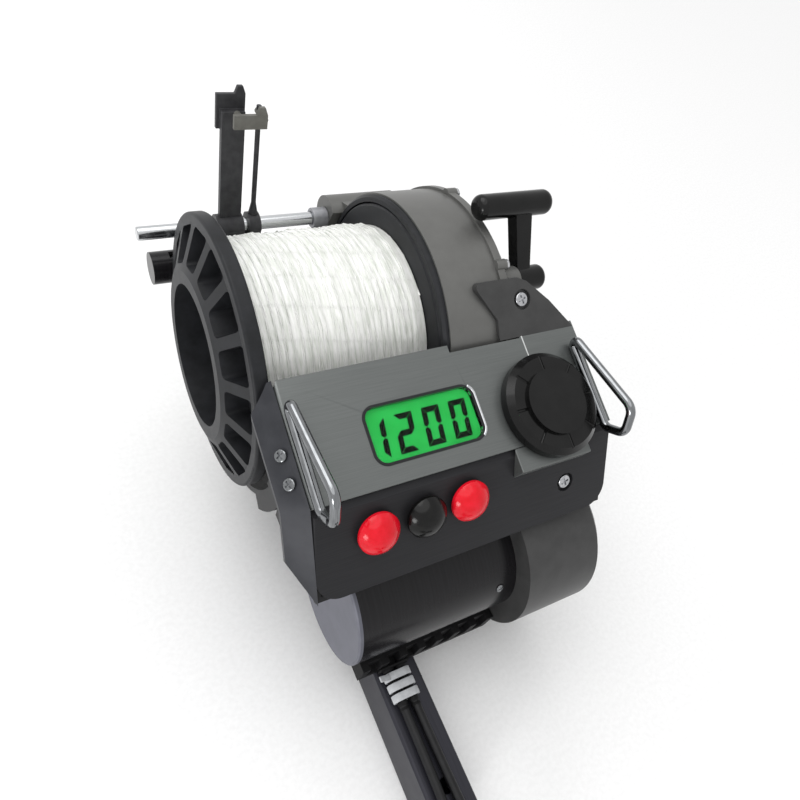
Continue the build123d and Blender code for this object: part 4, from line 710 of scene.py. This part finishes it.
def make_ties():
    """Three ties close together, the first with its cut tail standing off to the left."""
    ties = [tie_band(y) for y in TIE_PLACES]
    bpy.ops.mesh.primitive_cube_add(
        size=1, scale=[side * MM for side in TAIL_SIZE], rotation=(0, math.radians(TAIL_LEAN), 0),
        location=((LEAD_MIDDLE - TAIL_ASIDE) * MM, TIE_PLACES[0] * MM, (LEAD_AXIS + TAIL_ABOVE) * MM))
    tail = bpy.context.object
    bpy.ops.object.transform_apply(location=True, rotation=True, scale=True)
    ease_edges(tail, 0.4 * MM, 2)
    activate(ties[0])
    for tie in ties + [tail]:
        tie.select_set(True)
    bpy.ops.object.join()
    ties[0].name = "lead_tie_bands"
    settle(ties[0], tie_nylon, "frame")
    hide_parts("lead_ties")


def make_relief(name, x):
    """A tapered sleeve with ring grooves on a lead, thick at the gland."""
    bpy.ops.mesh.primitive_cone_add(
        vertices=32, radius1=RELIEF_THICK * MM, radius2=RELIEF_THIN * MM, depth=RELIEF_LONG * MM,
        location=(x * MM, (GLAND_FRONT - RELIEF_LONG / 2) * MM, LEAD_AXIS * MM),
        rotation=(math.pi / 2, 0, 0))
    sleeve = bpy.context.object
    bpy.ops.object.transform_apply(location=True, rotation=True, scale=True)
    shape = bmesh.new()
    shape.from_mesh(sleeve.data)
    long_edges = [edge for edge in shape.edges
                  if abs(edge.verts[0].co.y - edge.verts[1].co.y) > RELIEF_LONG * MM / 2]
    bmesh.ops.subdivide_edges(shape, edges=long_edges, cuts=RELIEF_CUTS - 1)
    for vert in shape.verts:
        share = (GLAND_FRONT * MM - vert.co.y) / (RELIEF_LONG * MM)
        step = round(share * RELIEF_CUTS)
        if step % 4 == 2 and 0 < step < RELIEF_CUTS:
            out = Vector((vert.co.x - x * MM, 0, vert.co.z - LEAD_AXIS * MM))
            vert.co -= out.normalized() * RELIEF_DEEP * MM
    shape.to_mesh(sleeve.data)
    shape.free()
    sleeve.name = name
    settle(sleeve, black_texture, "frame", turn=50)


def make_seal():
    """The black foam seal under the panel's back edge, where the round cover ends."""
    left, right, front, back = 149.9, 153, -1, 3.4
    outline = [(left, front), (right, front), (right, back), (left, back)]
    seal = flat_plates("housing_seal", [outline], -7, -3.1, UPPER)
    settle(seal, black_texture, "frame")


make_display()
make_seal()
make_screws()
make_tube_screw()
make_index()
make_ties()
make_relief("lead_relief_left", LEAD_LEFT)
make_relief("lead_relief_right", LEAD_RIGHT)

# The castings, plates and mouldings with sharp edges, rounded by so many millimetres
round_over("arm_block", dark_casting, "frame", 1.1)
round_over("upper_panel", panel_brushed, "frame", 0.7, sharp=50, plane=UPPER)
round_over("knob_ledge", panel_brushed, "frame", 0.6)
round_over("lower_panel", panel_shaded, "frame", 0.8, plane=LOWER)
round_over("side_cover", side_enamel, "frame", 1.0)
round_over("lcd_bezel", panel_shaded, "frame", 0.25)
round_over("guide_front_plate", plate_paint, "guide", 0.5)
round_over("guide_blade", guide_paint, "guide", 0.4)
round_over("guide_post", guide_paint, "guide", 0.4)
round_over("drag_lever", black_gloss, "lever", 1.2)
round_over("foot_clamp", black_texture, "frame", 0.5)
round_over("mounting_bar", bar_anodised, "frame", 0.5)
round_over("lead_gland", black_texture, "frame", 0.8)
round_over("gear_housing", grey_enamel, "frame", 0.8)
round_over("right_cover", grey_enamel, "frame", 0.6)
round_over("rod_collar", blasted_aluminium, "frame", 0.6)
round_over("gear_case_outer", dark_casting, "frame", 1.0)


# Wound line: a filled drum of line with its outer turns laid side by side,
# a few loose turns crossing them, as a level wind leaves it.
LINE_THICK = 0.9
LINE_LEFT = 8.4
LINE_RIGHT = 103.0
LINE_HIGH = 61.3
LINE_SINK = 0.75
TURN_POINTS = 22
LAID_TURNS = 112
# How much of a turn's wander the next point keeps, and how far it rises or sinks by chance
WANDER_KEPT = 0.93
JITTER = 0.05
# Loose turns: from and to, across the spool, and how many
LOOSE_TURNS = ((12, 46, 9), (58, 22, 8), (50, 84, 10), (98, 66, 9), (74, 97, 7), (30, 12, 5))
# The drum's rise and fall across the spool: height, pitch and start of each wave
WAVES = ((0.45, 0.23, 0.6), (0.3, 0.57, 2.0), (0.15, 1.3, 0))
WAVE_SHARE = 0.9
EDGE_DROP = 0.5
EDGE_LONG = 6
BED_INSIDE = 44
BED_ROWS = 64
BED_SIDES = 96
laying = random.Random(7)


def drum_height(x):
    """The filled drum's radius at that place across the spool, in millimetres."""
    edge = min(x - LINE_LEFT, LINE_RIGHT - x) / EDGE_LONG
    rise = sum(high * math.sin(x * pitch + start) for high, pitch, start in WAVES)
    return LINE_HIGH + WAVE_SHARE * (rise - EDGE_DROP * max(0, 1 - edge))


def wind(spline, x0, x1, turns, lift, wander):
    """Turns of line from one place across the spool to another."""
    count = int(turns * TURN_POINTS)
    spline.points.add(count - 1)
    drift = 0
    start = laying.uniform(0, 2 * math.pi)
    for i, point in enumerate(spline.points):
        share = i / (count - 1)
        drift = drift * WANDER_KEPT + laying.uniform(-wander, wander)
        x = min(max(x0 + (x1 - x0) * share + drift, LINE_LEFT), LINE_RIGHT)
        radius = drum_height(x) + lift + laying.uniform(-JITTER, JITTER)
        angle = start + share * turns * 2 * math.pi
        place = spot(x, radius * math.cos(angle), radius * math.sin(angle))
        point.co = (*place, 1)
    spline.order_u = 3
    spline.use_endpoint_u = True


def make_line():
    """The outer turns and the loose ones, made a mesh."""
    curve = bpy.data.curves.new("wound_line", "CURVE")
    curve.dimensions = "3D"
    curve.bevel_depth = LINE_THICK / 2 * MM
    curve.bevel_resolution = 1
    curve.resolution_u = 1
    wind(curve.splines.new("NURBS"), LINE_LEFT, LINE_RIGHT, LAID_TURNS, -0.45, 0.04)
    for x0, x1, turns in LOOSE_TURNS:
        wind(curve.splines.new("NURBS"), x0, x1, turns, 0.15, 0.08)
    line = bpy.data.objects.new("wound_line", curve)
    bpy.context.scene.collection.objects.link(line)
    activate(line)
    bpy.ops.object.convert(target="MESH")
    settle(line, nylon_line, "spool_body", turn=80)
    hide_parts("line_winding")


def make_line_bed():
    """The drum of line under the outer turns, a hollow turned body with the same rise and fall."""
    across = [LINE_LEFT + (LINE_RIGHT - LINE_LEFT) * (row / BED_ROWS) for row in range(BED_ROWS + 1)]
    outline = ([(across[0], BED_INSIDE)] + [(x, drum_height(x) - LINE_SINK) for x in across]
               + [(across[-1], BED_INSIDE)])
    turns = [2 * math.pi * i / BED_SIDES for i in range(BED_SIDES)]
    bed = bmesh.new()
    rings = [[bed.verts.new(spot(x, radius * math.cos(turn), radius * math.sin(turn))) for turn in turns]
             for x, radius in outline]
    for near, far in zip(rings, rings[1:] + rings[:1]):
        for i in range(BED_SIDES):
            after = (i + 1) % BED_SIDES
            bed.faces.new((near[i], near[after], far[after], far[i]))
    bmesh.ops.recalc_face_normals(bed, faces=bed.faces)
    line_bed = bpy.data.objects.new("line_bed", bpy.data.meshes.new("line_bed"))
    bpy.context.scene.collection.objects.link(line_bed)
    bed.to_mesh(line_bed.data)
    bed.free()
    settle(line_bed, nylon_line, "spool_body", turn=40)
    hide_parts("line_packing")


make_line()
make_line_bed()

# Studio: a pale floor that keeps the shadow, white round it, and soft lamps
SKY_LEVEL = 0.6
OVERHEAD_LEVEL = 1.2
FLOOR_WIDE = 30
FLOOR_LOW = -0.0005

bpy.ops.mesh.primitive_plane_add(size=FLOOR_WIDE, location=(0, 0, FLOOR_LOW))
floor = bpy.context.object
floor.name = "studio_floor"
bpy.ops.object.select_all(action="DESELECT")
# Background paper: pressed pulp, matt white with the faintest tooth
floor.data.materials.append(coated("studio_paper", "#f6f6f6", "#fbfbfb", 3, 1, 0.001, (0.85, 0.95), **DULL))

world = bpy.data.worlds.new("studio_world")
bpy.context.scene.world = world
world.use_nodes = True
sky = world.node_tree
sky.nodes.clear()
ray = add_node(sky, "LightPath")
seen = add_node(sky, "Math", {"operation": "MAXIMUM"},
                {0: (ray, "Is Camera Ray"), 1: (ray, "Is Glossy Ray")})
seen_or_through = add_node(sky, "Math", {"operation": "MAXIMUM"},
                           {0: (seen, "Value"), 1: (ray, "Is Transmission Ray")})
level = add_node(sky, "MapRange", {"To Min": SKY_LEVEL, "To Max": 1.0},
                 {"Value": (seen_or_through, "Value")})
sky_light = add_node(sky, "Background", {"Color": (1, 1, 1, 1)}, {"Strength": (level, "Result")})
add_node(sky, "OutputWorld", links={"Surface": (sky_light, "Background")})


def aim(lamp, place, target):
    """Puts a lamp at that place, turned to shine at the target."""
    lamp.location = place
    lamp.rotation_mode = "QUATERNION"
    lamp.rotation_quaternion = (Vector(target) - Vector(place)).to_track_quat("-Z", "Y")


def soft_lamp(name, place, target, size, watts):
    """A square lamp with a soft edge to its light."""
    lamp_data = bpy.data.lights.new(name, "AREA")
    lamp_data.shape = "SQUARE"
    lamp_data.size = size
    lamp_data.energy = watts
    lamp = bpy.data.objects.new(name, lamp_data)
    bpy.context.scene.collection.objects.link(lamp)
    aim(lamp, place, target)


# A wide soft light from above keeps the floor evenly white, two smaller lamps give highlights
overhead_data = bpy.data.lights.new("overhead", "SUN")
overhead_data.energy = OVERHEAD_LEVEL
overhead_data.angle = math.radians(70)
overhead = bpy.data.objects.new("overhead", overhead_data)
bpy.context.scene.collection.objects.link(overhead)
aim(overhead, (-0.25, 0.2, 1.0), (0, 0, 0))
soft_lamp("lamp_over", (-0.3, 0.45, 1.1), (0, 0, 0.14), 0.7, 3)
soft_lamp("lamp_front", (-1.0, -0.7, 0.3), (0, 0, 0.12), 0.35, 4)

bpy.context.scene.view_settings.view_transform = "Standard"
